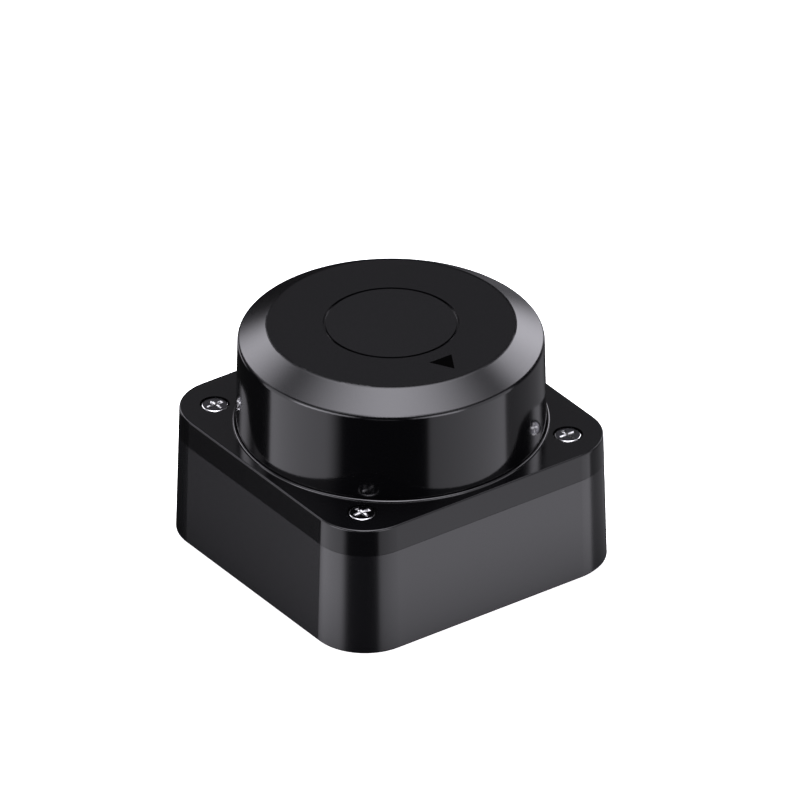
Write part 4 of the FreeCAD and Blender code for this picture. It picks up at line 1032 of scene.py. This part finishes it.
@dataclass
class Studio:
    """Floor, light and camera.

    Attributes:
        azimuth: The camera's azimuth in degrees.
        elevation: The camera's elevation in degrees.
        pixels_per_mm: Scale of the image at the object.
        aim_mm: Point of the object that the framing was taken from.
        aim_pixel: Where that point lies in the image.
        lens_mm: Focal length; a long one, because the object's parallels stay parallel in the picture.
        sensor_mm: Width of the sensor.
        sight: How far the camera sees, in metres.
        floor_side: Side of the floor in metres.
        floor_glow: Strength of the light that the floor gives out.
        foot_core_mm: Distance from the middle to the centre of a foot corner, along each side.
        foot_corner_mm: Radius of a foot corner.
        shade_reach_mm: How far the shade round the foot reaches.
        shade_least: Share of the light that the shade lets through at the foot.
        shade_power: Power of the distance with which the shade thins out.
        shade_sink_mm: How far the shade lies below the floor.
        room_grey: What the object sees beside the panels, sRGB hex.
        boxes: The soft boxes.
    """

    azimuth: float = -35.75
    elevation: float = 31.51
    pixels_per_mm: float = 6.1625
    aim_mm: tuple[float, float, float] = (0.0, 0.0, 16.68)
    aim_pixel: tuple[float, float] = (391.12, 452.45)
    lens_mm: float = 900.0
    sensor_mm: float = 36.0
    sight: float = 100.0
    floor_side: float = 12.0
    floor_glow: float = 1.0
    foot_core_mm: float = 18.4
    foot_corner_mm: float = 9.4
    shade_reach_mm: float = 20.0
    shade_least: float = 0.45
    shade_power: float = 0.5
    shade_sink_mm: float = 0.05
    room_grey: str = "#1a1a1a"
    boxes: tuple[SoftBox, ...] = SOFT_BOXES

    def build(self) -> None:
        """Set the floor, the lights, the surroundings and the camera."""
        turn, rise = math.radians(self.azimuth), math.radians(self.elevation)
        facing = Vector((math.sin(turn), -math.cos(turn), 0))
        right = Vector((math.cos(turn), math.sin(turn), 0))
        back = facing * math.cos(rise) + Vector((0, 0, math.sin(rise)))
        self.lay_floor()
        self.lay_shade()
        for box in self.boxes:
            box.hang(facing, right)
        self.light_surroundings()
        self.place_camera(right, back)

    def sheet(self, depth_mm: float) -> Shape:
        """Make a level sheet of the floor's size.

        Args:
            depth_mm: How far it lies below the object's foot.

        Returns:
            Its mesh, in metres.
        """
        shape = bmesh.new()
        bmesh.ops.create_grid(shape, x_segments=2, y_segments=2, size=self.floor_side / 2)
        bmesh.ops.translate(shape, verts=shape.verts, vec=(0, 0, -depth_mm * MM))
        return shape

    def lay_floor(self) -> None:
        """Lay the pale floor, lit from below so that no shadow darkens it."""
        floor = make_object("floor", self.sheet(0.0), CARD.material())
        card = CARD.material().node_tree.nodes["Principled BSDF"]
        card.inputs["Emission Color"].default_value = to_linear(WHITE)
        card.inputs["Emission Strength"].default_value = self.floor_glow
        floor.visible_glossy = False
        floor.visible_diffuse = False
        floor.visible_shadow = False

    def lay_shade(self) -> None:
        """Lay the soft shade round the foot, which dims what the base reflects of the panels below."""
        shade = make_object("shade", self.sheet(self.shade_sink_mm), self.veil())
        shade.visible_camera = False
        shade.visible_diffuse = False

    def veil(self) -> bpy.types.Material:
        """Make the film that the shade is drawn on: grey at the foot and clear further out.

        Returns:
            The material.
        """
        film = bpy.data.materials.new("Shade round the foot")
        film.use_nodes = True
        tree = film.node_tree
        tree.nodes.clear()
        place = add_node(tree, "ShaderNodeTexCoord", {}).outputs["Object"]
        core = (self.foot_core_mm * MM, self.foot_core_mm * MM, 0.0)
        for operation, other in (("ABSOLUTE", None), ("SUBTRACT", core), ("MAXIMUM", (0.0, 0.0, 0.0))):
            inputs = {0: place} if other is None else {0: place, 1: other}
            place = add_node(tree, "ShaderNodeVectorMath", inputs, operation=operation).outputs["Vector"]
        away = add_node(tree, "ShaderNodeVectorMath", {0: place}, operation="LENGTH").outputs["Value"]
        share = add_node(tree, "ShaderNodeMapRange", {
            "Value": away,
            "From Min": self.foot_corner_mm * MM,
            "From Max": (self.foot_corner_mm + self.shade_reach_mm) * MM,
        }).outputs["Result"]
        thinned = add_node(tree, "ShaderNodeMath", {0: share, 1: self.shade_power}, operation="POWER")
        passed = add_node(tree, "ShaderNodeMapRange", {
            "Value": thinned.outputs["Value"], "To Min": self.shade_least})
        clear = add_node(tree, "ShaderNodeBsdfTransparent", {"Color": passed.outputs["Result"]})
        add_node(tree, "ShaderNodeOutputMaterial", {"Surface": clear.outputs["BSDF"]})
        return film

    def light_surroundings(self) -> None:
        """Make the room white to the eye and dark to the object, so that only the panels light it."""
        room = bpy.data.worlds.new("studio")
        room.use_nodes = True
        tree = room.node_tree
        tree.nodes.clear()
        ray = add_node(tree, "ShaderNodeLightPath", {}).outputs["Is Camera Ray"]
        dark, white = (add_node(tree, "ShaderNodeBackground", {"Color": to_linear(colour)})
                       for colour in (self.room_grey, WHITE))
        either = add_node(tree, "ShaderNodeMixShader", {
            0: ray, 1: dark.outputs["Background"], 2: white.outputs["Background"]})
        add_node(tree, "ShaderNodeOutputWorld", {"Surface": either.outputs["Shader"]})
        bpy.context.scene.world = room
        bpy.context.scene.view_settings.view_transform = "Standard"

    def place_camera(self, right: Vector, back: Vector) -> None:
        """Place the camera where the object lies in the image as it does in the picture.

        Args:
            right: Level direction to the right in the image.
            back: Direction from the object to the camera.
        """
        up = back.cross(right)
        across = (IMAGE_SIDE / 2 - self.aim_pixel[0]) / self.pixels_per_mm
        along = (self.aim_pixel[1] - IMAGE_SIDE / 2) / self.pixels_per_mm
        aim = (Vector(self.aim_mm) + right * across + up * along) * MM
        reach = IMAGE_SIDE / self.pixels_per_mm * MM * self.lens_mm / self.sensor_mm
        lens = bpy.data.cameras.new("camera")
        lens.lens = self.lens_mm
        lens.sensor_width = self.sensor_mm
        lens.clip_end = self.sight
        camera = bpy.data.objects.new("camera", lens)
        turn = Matrix((right, up, back)).transposed().to_4x4()
        camera.matrix_world = Matrix.Translation(aim + back * reach) @ turn
        bpy.context.scene.collection.objects.link(camera)
        bpy.context.scene.camera = camera


def main() -> None:
    """Build and dress the sensor, then set the studio."""
    logging.basicConfig(level=logging.INFO, format="%(message)s")
    housing = Housing(LidScrews(), OpeningBead(), ThreadedInserts())
    housing.build()
    head = Head()
    head.build()
    for assembly in (housing, head, BaseElectronics(), Motor(), Scanner()):
        assembly.dress()
    Studio().build()


if __name__ == "__main__":
    main()
